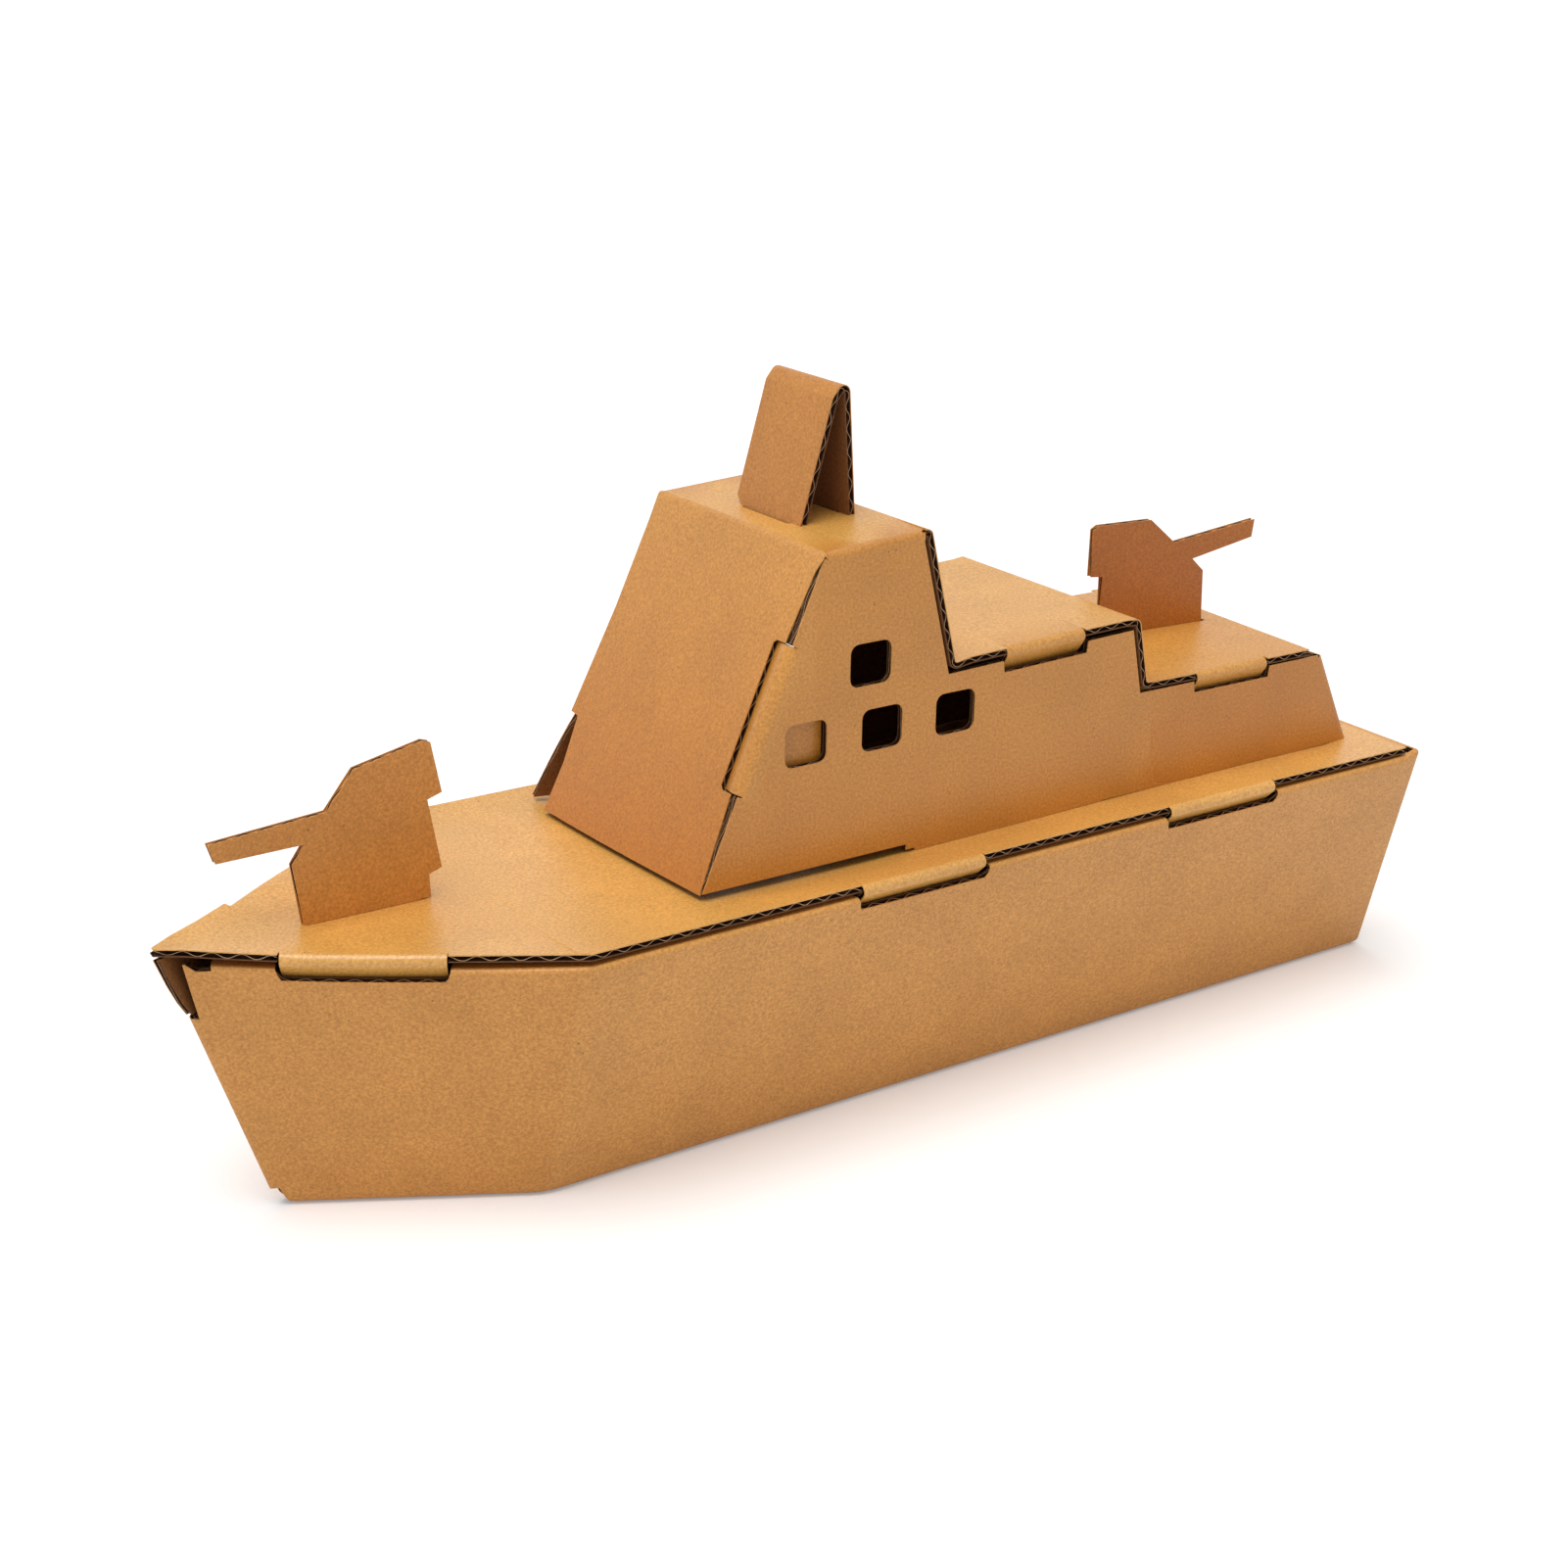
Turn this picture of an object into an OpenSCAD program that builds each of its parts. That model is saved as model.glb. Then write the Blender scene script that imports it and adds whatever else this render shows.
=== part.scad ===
// Toy ship folded from corrugated board: a flared hull, a deck that locks on with tucked tabs,
// a stepped deckhouse with windows, a folded mast and two flat guns that stand in slots.
// The bow points along +X, the port side along +Y, and the bottom lies on the ground.

/* [Board] */
// Thickness of the corrugated board
board = 2; // [1.8:0.1:2.2]
// Outer radius of a scored fold
fold_r = 2.8; // [2.6:0.1:3]
// Play between a tucked leg and the panel in front of it, and around a foot in its slot
play = 0.15; // [0.1:0.05:0.2]

/* [Hull] */
// Length of the flat bottom, from the foot of the stem to the foot of the stern
keel_len = 366.4; // [350:1:380]
// Width of the flat bottom
keel_w = 68; // [62:1:74]
// Length of the pointed part of the bottom
keel_bow = 62.6; // [58:0.2:66]
// Forward lean of the stem, from its foot to its top
stem_rake = 24.4; // [20:0.2:28]
// Lean of the stern, whose foot lies aft of its top
stern_rake = 8.8; // [6:0.2:12]
// Length of the open slit at the top of the stem
stem_slit = 14.5; // [12:0.5:18]
// Width of the slit
slit_w = 2.2; // [1.8:0.1:2.6]

/* [Deck] */
// Height of the deck's upper face above the ground
deck_h = 76.4; // [72:0.2:80]
// Length of the deck
deck_len = 380; // [376:1:381]
// Width of the deck
deck_w = 112; // [108:0.5:116]
// Length of the pointed part of the deck
deck_bow = 90.6; // [86:0.2:94]
// Reach of the deck's tip past the top of the stem
tip_reach = 1.5; // [1:0.1:2.5]
// Gap that shows between a panel's cut edge and the sheet above it
lip = 1; // [0.8:0.1:1.2]
// Length of a long locking tab
tab_len = 41; // [36:0.5:43]
// Length of the tucked part of a tab
tab_leg = 8; // [6:0.5:9]

/* [Deckhouse] */
// Distance from the deck's tip to the foot of the deckhouse
house_front = 132.5; // [130:0.5:136]
// Width of the deckhouse
house_w = 80; // [78:0.5:82]
// Height of the tower over the deck
tower_h = 86.8; // [83:0.1:90]
// Length of the tower's sloped front, measured along the deck
front_run = 37.5; // [35:0.5:40]
// Length of the tower's roof
tower_roof = 33; // [32:0.5:35]
// Height of the middle roof over the deck
mid_h = 49.4; // [48:0.1:51]
// Length of the middle roof
mid_roof = 67.8; // [65:0.2:70]
// Height of the low roof over the deck
low_h = 31.6; // [30.5:0.1:33]
// Length of the low roof
low_roof = 67.4; // [66:0.2:69]
// Rise of each roof towards the stern, in degrees
roof_pitch = 1.5; // [1:0.1:2]
// Length of a locking tab on a roof
roof_tab = 28; // [24:0.5:30]
// Width of a window
win_w = 13; // [11:0.5:14]
// Height of a window
win_h = 12.4; // [11:0.2:13]
// Corner radius of a window
win_r = 2.6; // [2:0.1:3]

/* [Mast] */
// Width of the mast's strip
mast_w = 30; // [27:0.5:33]
// Height of the mast over the tower's roof
mast_h = 40; // [37:0.5:42]

/* [Guns] */
// Distance from the deck's tip to the middle of the fore gun
fore_gun_pos = 56.5; // [54:0.5:60]
// Distance from the step to the middle of the aft gun
aft_gun_pos = 41.5; // [40:0.5:43]
// Upward tilt of the aft gun, in degrees
aft_tilt = 10; // [8:0.5:11]

/* [Hidden] */
$fn = 64;

kraft = "#c8935a";
kraft_deck = "#dcab6e";
kraft_dark = "#a97442";

// Larger than any part of the ship
big = 400;
// Distance that a fold's arc stands proud of a true tangent arc
ease = 0.03;
// Overlap that joins two pieces of one sheet
weld = 0.5;
// Depth to which each face of a tab is pressed in where it is scored
crush = 0.05;
// Slit at each end of a tab
relief = 0.8;
// Extra length of a notch past its tab
notch_end = 1.2;
// Depth of a notch below the upper face of the sheet whose tab it takes
notch_drop = 6.2;
// Depth of a foot below the sheet that it stands in
foot_drop = 6;
// Radius of the soft bend at the shoulder of the bow
soft_r = 14;

// Stations along the ship, with the whole length centred on the origin
tip_x = (keel_len + stem_rake + tip_reach) / 2;
stem_foot_x = tip_x - tip_reach - stem_rake;
stern_foot_x = stem_foot_x - keel_len;
shoulder_x = tip_x - deck_bow;
deck_aft_x = tip_x - deck_len;

// Hull: its top edge stands a little outside the deck's edge
hull_top = deck_h - board - lip;
hull_out = 1.2;
hull_half = deck_w / 2 + hull_out;
keel_shoulder = [stem_foot_x - keel_bow, keel_w / 2, 0];
stem_foot = [stem_foot_x, 0, 0];
stem_top = [stem_foot_x + stem_rake, 0, hull_top];
top_shoulder = [shoulder_x, hull_half, hull_top];
stern_foot = [stern_foot_x, 0, 0];

// Unit normals of the hull's panels, all pointing out
function unit(v) = v / norm(v);
down = [0, 0, -1];
side_n = unit([0, hull_top, keel_w / 2 - hull_half]);
low_bow_n = unit(cross(top_shoulder - keel_shoulder, stem_foot - keel_shoulder));
high_bow_n = unit(cross(top_shoulder - stem_foot, stem_top - stem_foot));
stern_n = unit([-hull_top, 0, stern_rake]);
function to_starboard(v) = [v.x, -v.y, v.z];

// Locking tabs of the deck: place on the hull's top edge, turn of the edge, lean of the panel
side_tabs = [102.9, 212.1];
bow_tab = 49;
bow_edge = unit(top_shoulder - stem_top);
bow_spot = stem_top + bow_tab * bow_edge;
side_lean = asin(-side_n.z);
bow_lean = asin(-high_bow_n.z);
bow_turn = -atan2(high_bow_n.x, high_bow_n.y);
deck_tabs = concat(
    [for (d = side_tabs) [[shoulder_x - d, hull_half, 0], 0, side_lean]],
    [[[bow_spot.x, bow_spot.y, 0], bow_turn, bow_lean]]
);
// Distance from the hull's top edge in to the line where a deck tab starts to bend
function tab_in(lean) =
    (board + fold_r - sin(lean) * (deck_h - crush - fold_r - hull_top)) / cos(lean);

deck_outline = [
    [tip_x, 0],
    [shoulder_x, deck_w / 2],
    [deck_aft_x, deck_w / 2],
    [deck_aft_x, -deck_w / 2],
    [shoulder_x, -deck_w / 2]
];

// Deckhouse: outer corners of the strip that runs from the front foot over the roofs
house_half = house_w / 2;
aft_run = 9.85;
step_run = 2.6;
rise = tan(roof_pitch);
front_x = tip_x - house_front;
strip_x = [
    front_x,
    front_x - front_run,
    front_x - front_run - tower_roof,
    front_x - front_run - tower_roof - aft_run,
    front_x - front_run - tower_roof - aft_run - mid_roof,
    front_x - front_run - tower_roof - aft_run - mid_roof - step_run,
    front_x - front_run - tower_roof - aft_run - mid_roof - step_run - low_roof
];
strip = [
    [strip_x[0], 0],
    [strip_x[1], tower_h],
    [strip_x[2], tower_h + tower_roof * rise],
    [strip_x[3], mid_h],
    [strip_x[4], mid_h + mid_roof * rise],
    [strip_x[5], low_h],
    [strip_x[6], low_h + low_roof * rise]
];
// Corners of the strip that fold outwards
ridges = [1, 2, 4];
front_slope = atan2(tower_h, front_run);
// Distance from the roof's fold down the front to the middle of the front tab
front_tab = 42.3;
front_notch = 5.6;
// Distances from a roof's front corner to the middle of its tab
mid_tab = 32;
low_tab = 34;
// The side panels: slanted tail, raised front part of the bottom, and feet in the deck
tail_over = 5.4;
tail_run = 14.2;
tail_top = [strip[6].x - tail_over, strip[6].y - board - lip];
tail_foot = [tail_top.x - tail_run, 0];
tail_n = unit([-tail_top.y, 0, tail_run]);
// Width of the gap between the two flaps that close the aft end
tail_gap = 1.6;
lift = 1.1;
lift_len = 67;
feet = [[70, 138], [172, 228]];
// Flap inside a side panel: its distance from the panel, its foot, its reach over and under the
// window, and the part of the window that it leaves open
flap_gap = 0.6;
flap_foot = 8;
flap_reach = 3;
flap_short = 1.5;
windows = [[33, 36.6], [57.8, 36.6], [82.6, 36.6], [53.5, 55.3]];

// Normal on the right hand of a path that climbs from the bow and runs aft
function out(a, b) = unit([b.y - a.y, a.x - b.x]);
// The corners of a path moved in by a distance
function inset(path, gap) = [
    for (i = [0:len(path) - 1])
        let (
            before = out(path[max(i - 1, 0)], path[max(i, 1)]),
            after = out(path[min(i, len(path) - 2)], path[min(i + 1, len(path) - 1)])
        )
        path[i] - gap * (before + after) / (1 + before * after)
];
// Point of a sloped front line at a height, a distance inside it
function behind_front(height, gap) =
    [front_x - (height * front_run + gap * norm([front_run, tower_h])) / tower_h, height];
function backwards(list) = [for (i = [len(list) - 1:-1:0]) list[i]];

// Mast: outer corners of its strip, above the tower's roof
mast_pos = 47;
mast_top = 5.3;
mast_bend = 6.7;
mast_front = 9.65;
mast_back = 3.2;
mast_shoulder = 4;
mast_ridge_r = 2.2;
mast_path = [
    [0, 0],
    [-mast_front, mast_h - mast_bend],
    [-mast_front - mast_top, mast_h],
    [-mast_front - mast_top - mast_back, 0]
];

// Guns: outline with the nose along +X and the deck at zero
gun_foot = 15;
gun_outline = [
    [-gun_foot, -foot_drop],
    [gun_foot, -foot_drop],
    [gun_foot, 0],
    [17.5, 0],
    [19.9, 16.8],
    [16.3, 21.8],
    [39.8, 21.6],
    [41.5, 26.9],
    [10, 29.1],
    [2, 39],
    [-17.2, 43],
    [-19.4, 42.3],
    [-22.2, 28.2],
    [-18, 26.9],
    [-21.5, 7.6],
    [-17.8, 6.3],
    [-18.1, 0],
    [-gun_foot, 0]
];
// Ends of the aft gun's slot, aft and fore of the gun's middle; the gun rests on the aft end
aft_rest = 16;
aft_room = 19.5;
aft_sink = aft_rest * (tan(aft_tilt) - rise);

// Everything past a plane
module beyond(p, n) {
    translate(p)
        rotate([0, acos(n.z), atan2(n.y, n.x)])
            translate([-big, -big, 0])
                cube(2 * big);
}

// Places its children with x along a, y along b and z along both's normal
module frame(p, a, b) {
    c = cross(a, b);
    multmatrix([
        [a.x, b.x, c.x, p.x],
        [a.y, b.y, c.y, p.y],
        [a.z, b.z, c.z, p.z]
    ])
        children();
}

// Sliver between a corner and the arc that rounds it; half is half the angle that the fold turns
module corner(half, r) {
    difference() {
        translate([-r * sin(half), r * cos(half) - r / cos(half)])
            square([2 * r * sin(half), r / cos(half)]);
        translate([0, ease - r / cos(half)])
            circle(r);
    }
}

// Extrudes its children along the fold between two panels with outward normals n1 and n2
module along_fold(p, n1, n2, span) {
    out_dir = unit(n1 + n2);
    along = unit(cross(n1, n2));
    frame(p, cross(out_dir, along), out_dir)
        translate([0, 0, -span / 2])
            linear_extrude(span)
                children();
}

// Cutter that rounds the fold between two panels
module round_fold(p, n1, n2, r, span) {
    along_fold(p, n1, n2, span)
        corner(acos(n1 * n2) / 2, r);
}

// Everything inside two panels and the rounded fold where they meet
module inside_fold(p, n1, n2, r) {
    half = acos(n1 * n2) / 2;
    along_fold(p, n1, n2, 2 * big)
        difference() {
            polygon([
                [0, 0],
                [big * cos(half), -big * sin(half)],
                [big * cos(half), -2 * big],
                [-big * cos(half), -2 * big],
                [-big * cos(half), -big * sin(half)]
            ]);
            corner(half, r);
        }
}

// A tab that bends down from the edge of a sheet whose upper face is at zero
module tab(span, turn) {
    bend = fold_r * tan(turn / 2);
    leg_end = [bend + (bend + tab_leg) * cos(turn), -(bend + tab_leg) * sin(turn)];
    path = [leg_end, [bend, 0], [-2 * weld, 0]];
    translate([-span / 2, 0, -crush])
        rotate([90, 0, 90])
            linear_extrude(span)
                difference() {
                    polygon(concat(path, backwards(inset(path, board - 2 * crush))));
                    ridge_cut(path[0], path[1], path[2], fold_r);
                }
}

// Both sides of the ship
module both_sides() {
    children();
    mirror([0, 1, 0])
        children();
}

// Every locking tab of the deck, with y pointing out of the hull
module each_deck_tab() {
    both_sides()
        for (spot = deck_tabs) {
            $lean = spot[2];
            translate(spot[0])
                rotate(spot[1])
                    children();
        }
}

// The space inside the hull, open at the top
module hull_inside() {
    difference() {
        translate([-big, -big / 2, board])
            cube([2 * big, big, deck_h]);
        beyond(stern_foot - board * stern_n, stern_n);
        both_sides() {
            beyond(keel_shoulder - board * side_n, side_n);
            beyond(keel_shoulder - board * low_bow_n, low_bow_n);
            beyond(stem_foot - board * high_bow_n, high_bow_n);
        }
    }
}

// The hull's outside as a block with its folds rounded
module hull_outside() {
    intersection() {
        translate([-big, -big / 2, 0])
            cube([2 * big, big, hull_top]);
        inside_fold(keel_shoulder, side_n, down, fold_r);
        inside_fold(to_starboard(keel_shoulder), to_starboard(side_n), down, fold_r);
        inside_fold(keel_shoulder, low_bow_n, down, fold_r);
        inside_fold(to_starboard(keel_shoulder), to_starboard(low_bow_n), down, fold_r);
        inside_fold(stern_foot, down, stern_n, fold_r);
        inside_fold(stem_foot, high_bow_n, to_starboard(high_bow_n), fold_r);
    }
}

// Trapezoid cut in a panel's top edge for a tab
module notch(span, depth) {
    wide = span / 2 + notch_end;
    polygon([
        [-wide, -depth],
        [wide, -depth],
        [wide + depth / 2, weld],
        [-wide - depth / 2, weld]
    ]);
}

module hull_box() {
    color(kraft)
        difference() {
            hull_outside();
            hull_inside();
            both_sides()
                round_fold(keel_shoulder, low_bow_n, side_n, soft_r, big);
            each_deck_tab()
                translate([0, board, hull_top])
                    rotate([90, 0, 0])
                        linear_extrude(4 * board)
                            notch(tab_len, hull_top - deck_h + notch_drop);
            stem_cuts();
        }
}

// Slit and torn corner at the top of the stem, and the relief at its foot
module stem_cuts() {
    foot_cut = 4.5;
    corner_cut = 3;
    translate([stem_foot_x, -slit_w / 3, hull_top - stem_slit])
        cube([big, slit_w, big]);
    translate([stem_top.x - 4 * corner_cut, 6 * corner_cut, hull_top])
        rotate([90, 0, 0])
            linear_extrude(6 * corner_cut)
                polygon([[-corner_cut, weld], [corner_cut / 2, -corner_cut], [2 * corner_cut, weld]]);
    translate([stem_foot_x, big / 2, 0])
        rotate([90, 0, 0])
            linear_extrude(big)
                polygon([[-board, foot_cut], [big, foot_cut], [big, -board], [-2 * board, -board]]);
}

module deck_sheet() {
    color(kraft_deck)
        difference() {
            union() {
                translate([0, 0, deck_h - board])
                    linear_extrude(board)
                        difference() {
                            polygon(deck_outline);
                            each_deck_tab()
                                translate([-tab_len / 2 - relief, -tab_in($lean) - weld])
                                    square([tab_len + 2 * relief, 5 * fold_r]);
                        }
                each_deck_tab()
                    translate([0, -tab_in($lean), deck_h])
                        tab(tab_len, 90 + $lean);
            }
            both_sides()
                for (f = feet)
                    slot(front_x - f[1], front_x - f[0], house_half - board, house_half);
            slot(-gun_foot + tip_x - fore_gun_pos, gun_foot + tip_x - fore_gun_pos,
                -board / 2, board / 2);
        }
}

// Slot through the deck, with play on all sides
module slot(x0, x1, y0, y1) {
    translate([x0 - play, y0 - play, deck_h - 2 * board])
        cube([x1 - x0 + 2 * play, y1 - y0 + 2 * play, 3 * board]);
}

// Places its children on the sloped front, with x down the slope and z out of it
module on_front() {
    translate([strip[1].x, 0, deck_h + strip[1].y])
        rotate([0, front_slope, 0])
            children();
}

// Places its children on a roof, with x forward from its front corner and z out of it
module on_roof(corner_number) {
    translate([strip[corner_number].x, 0, deck_h + strip[corner_number].y])
        rotate([0, roof_pitch, 0])
            children();
}

// Draws a profile of x and height over the deck as a sheet that ends at y
module upright(y, thickness) {
    translate([0, y, deck_h])
        rotate([90, 0, 0])
            linear_extrude(thickness)
                children();
}

// Distance from the face of a panel in to the line where a tab behind it starts to bend
tuck = board + play + fold_r;

// Front, roofs and steps as one bent band
module house_strip() {
    inner = inset(strip, board);
    difference() {
        upright(house_half, house_w)
            difference() {
                polygon(concat(
                    strip,
                    backwards([for (i = [1:len(inner) - 1]) inner[i]]),
                    [behind_front(0, board)]
                ));
                for (i = ridges)
                    ridge_cut(strip[i - 1], strip[i], strip[i + 1], fold_r);
            }
        both_sides() {
            on_front()
                translate([front_tab, house_half, 0])
                    rotate([0, 0, 180])
                        translate([0, 0, -2 * board])
                            linear_extrude(4 * board)
                                mirror([0, 1, 0])
                                    notch(tab_len, front_notch);
            on_roof(3)
                tab_gap(mid_tab);
            on_roof(5)
                tab_gap(low_tab);
        }
        mast_slots();
        aft_gun_slot();
    }
    both_sides() {
        on_roof(3)
            translate([-mid_tab, house_half - tuck, 0])
                tab(roof_tab, 90);
        on_roof(5)
            translate([-low_tab, house_half - tuck, 0])
                tab(roof_tab, 90);
    }
}

// Room beside a roof's tab
module tab_gap(pos) {
    translate([-pos - roof_tab / 2 - relief, house_half - tuck - weld, -2 * board])
        cube([roof_tab + 2 * relief, big, 4 * board]);
}

// Sliver outside the arc at a corner of a path
module ridge_cut(a, b, c, r) {
    n1 = out(a, b);
    n2 = out(b, c);
    m = unit(n1 + n2);
    translate(b)
        rotate(atan2(-m.x, m.y))
            corner(acos(n1 * n2) / 2, r);
}

// One side panel, with its windows, notches and feet
module house_side() {
    edge = inset(strip, board + lip);
    roof_edge = inset(strip, board / 2);
    difference() {
        upright(house_half, board)
            difference() {
                union() {
                    polygon([
                        behind_front(lift, board + lip),
                        edge[1],
                        roof_edge[1] - [weld, 0],
                        roof_edge[2] + [weld, 0],
                        edge[2],
                        edge[3],
                        edge[4],
                        edge[5],
                        tail_top,
                        tail_foot,
                        [front_x - lift_len, 0],
                        [front_x - lift_len, lift]
                    ]);
                    for (f = feet)
                        translate([front_x - f[1], -foot_drop])
                            square([f[1] - f[0], foot_drop + weld]);
                }
                for (w = windows)
                    translate([front_x - w[0], w[1]])
                        window();
            }
        on_front()
            translate([front_tab - tab_len / 2 - relief, house_half - 2 * board, -tuck - weld])
                cube([tab_len + 2 * relief, 4 * board, tuck + weld]);
        on_roof(3)
            side_notch(mid_tab);
        on_roof(5)
            side_notch(low_tab);
    }
    on_front()
        translate([front_tab, house_half, -tuck])
            rotate([90, 0, 180])
                tab(tab_len, 90);
    front_flap();
    tail_flap();
}

module side_notch(pos) {
    translate([-pos, house_half + board, -board - lip])
        rotate([90, 0, 0])
            linear_extrude(4 * board)
                notch(roof_tab, notch_drop - board - lip);
}

module window() {
    square([win_w, win_h - 2 * win_r], center = true);
    square([win_w - 2 * win_r, win_h], center = true);
    for (x = [-1, 1], y = [-1, 1])
        translate([x * (win_w / 2 - win_r), y * (win_h / 2 - win_r)])
            circle(win_r);
}

// Flap of the front that lies inside the side panel, behind the first window
module front_flap() {
    first = [front_x - windows[0][0], windows[0][1]];
    aft = first.x - win_w / 2 + flap_short;
    top = first.y + win_h / 2 + flap_reach;
    neck = first.y - win_h / 2 - flap_reach;
    upright(house_half - board - flap_gap, board)
        polygon([
            behind_front(flap_foot, board / 2),
            behind_front(neck, board / 2),
            [first.x + win_w / 2, neck],
            [first.x + win_w / 2, top],
            [aft, top],
            [aft, flap_foot]
        ]);
}

// Flap of a side panel that closes half of the aft end, a little lower than the panel
module tail_flap() {
    thick = [board / -tail_n.x, 0];
    top = tail_top - lip * (tail_top - tail_foot) / tail_top.y;
    upright(house_half, house_half - tail_gap / 2)
        polygon([tail_foot, top, top + thick, tail_foot + thick]);
}

module deckhouse() {
    roof_n = [sin(roof_pitch), 0, cos(roof_pitch)];
    roof_mid = (strip[1] + strip[2]) / 2;
    color(kraft)
        difference() {
            union() {
                house_strip();
                both_sides()
                    house_side();
            }
            both_sides() {
                round_fold([roof_mid.x, house_half, deck_h + roof_mid.y], roof_n, [0, 1, 0],
                    fold_r, tower_roof);
                round_fold([tail_foot.x, house_half, deck_h], tail_n, [0, 1, 0],
                    fold_r, big / 2);
            }
        }
}

// Places its children on the tower's roof, at the front foot of the mast
module on_tower() {
    translate([front_x - mast_pos, 0, deck_h + tower_h + (mast_pos - front_run) * rise])
        children();
}

// The mast's bent band, as an outline
module mast_band() {
    foot = -foot_drop;
    first = mast_path[1] + (foot - mast_path[1].y) / mast_path[1].y * (mast_path[1] - mast_path[0]);
    last = mast_path[3] + foot / mast_path[2].y * (mast_path[2] - mast_path[3]);
    path = [first, mast_path[1], mast_path[2], last];
    difference() {
        polygon(concat(path, backwards(inset(path, board))));
        ridge_cut(path[0], path[1], path[2], fold_r);
        ridge_cut(path[1], path[2], path[3], mast_ridge_r);
    }
}

module mast() {
    shoulder_w = mast_w / 2 - mast_shoulder;
    color(kraft)
        difference() {
            on_tower()
                translate([0, mast_w / 2, 0])
                    rotate([90, 0, 0])
                        linear_extrude(mast_w)
                            mast_band();
            both_sides()
                on_roof(1)
                    translate([-big, shoulder_w, -big])
                        cube([2 * big, big, big]);
        }
}

// Slots of the mast's two feet in the tower's roof
module mast_slots() {
    on_tower() {
        leg_slot(-1, mast_front / (mast_h - mast_bend));
        translate([mast_path[3].x, 0, 0])
            leg_slot(1, mast_back / mast_h);
    }
}

// Slot for a sloped leg whose outer face meets the roof at zero
module leg_slot(way, lean) {
    half = mast_w / 2 - mast_shoulder + play;
    thick = board * sqrt(1 + lean * lean);
    shift = board * lean;
    span = thick + 2 * shift + 2 * play;
    translate([way * thick / 2 - span / 2, -half, -2 * board])
        cube([span, 2 * half, 4 * board]);
}

module gun() {
    translate([0, board / 2, 0])
        rotate([90, 0, 0])
            linear_extrude(board)
                polygon(gun_outline);
}

module fore_gun() {
    color(kraft_dark)
        translate([tip_x - fore_gun_pos, 0, deck_h])
            gun();
}

// Places its children on the low roof, at the middle of the aft gun
module on_aft_gun() {
    translate([strip[5].x - aft_gun_pos, 0, deck_h + low_h + aft_gun_pos * rise])
        children();
}

module aft_gun() {
    color(kraft_dark)
        on_aft_gun()
            translate([0, 0, -aft_sink])
                rotate([0, -aft_tilt, 180])
                    gun();
}

module aft_gun_slot() {
    on_aft_gun()
        translate([-aft_rest, -board / 2 - play, -2 * board])
            cube([aft_rest + aft_room, board + 2 * play, 4 * board]);
}

hull_box();
deck_sheet();
deckhouse();
mast();
fore_gun();
aft_gun();
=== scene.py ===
from math import acos, asin, cos, exp, hypot, pi, radians, sin, tan
import bpy
import bmesh
from mathutils import Matrix, Vector
from mathutils.geometry import delaunay_2d_cdt


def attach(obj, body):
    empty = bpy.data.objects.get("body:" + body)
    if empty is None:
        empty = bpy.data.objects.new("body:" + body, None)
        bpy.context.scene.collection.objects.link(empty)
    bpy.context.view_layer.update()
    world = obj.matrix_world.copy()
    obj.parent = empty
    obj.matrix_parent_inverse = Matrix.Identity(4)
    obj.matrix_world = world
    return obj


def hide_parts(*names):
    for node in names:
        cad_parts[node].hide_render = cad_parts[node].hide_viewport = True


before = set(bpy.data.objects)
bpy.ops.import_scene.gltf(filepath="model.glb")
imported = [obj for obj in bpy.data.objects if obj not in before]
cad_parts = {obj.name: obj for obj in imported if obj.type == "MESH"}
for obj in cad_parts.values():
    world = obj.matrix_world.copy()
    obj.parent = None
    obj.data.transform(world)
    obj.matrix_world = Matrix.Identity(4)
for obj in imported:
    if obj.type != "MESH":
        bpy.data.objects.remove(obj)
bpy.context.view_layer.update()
mm = 0.001
up = Vector((0, 0, 1))

# every sheet is the same board: two paper faces with a wavy layer between
board = {"thick": 2.0, "liner": 0.3, "recess": 1.7, "groove": 0.4, "fold": 2.8, "foldIn": 0.8, "tabFold": 2.0,
         "tabTurn": 28.0, "tabLeg": 8.0, "relief": 0.3, "reliefLen": 9, "play": 0.15, "lip": 1.0, "sharp": 28,
         "foldSteps": 6, "mitre": 1.4}
flute = {"pitch": 6.1, "height": 0.58, "paper": 0.2, "step": 0.4, "reach": 0.9}


def feed(tree, node, inputs):  # sets each input, or leads another node's output into it
    for key, value in inputs.items():
        if isinstance(value, bpy.types.NodeSocket):
            tree.links.new(value, node.inputs[key])
        else:
            node.inputs[key].default_value = value


def addNode(tree, kind, inputs, out=0, **settings):
    node = tree.nodes.new(kind)
    for key, value in settings.items():
        setattr(node, key, value)
    feed(tree, node, inputs)
    return node.outputs[out]


def newObject(name, data):
    obj = bpy.data.objects.new(name, data)
    bpy.context.scene.collection.objects.link(obj)
    return obj


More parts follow.
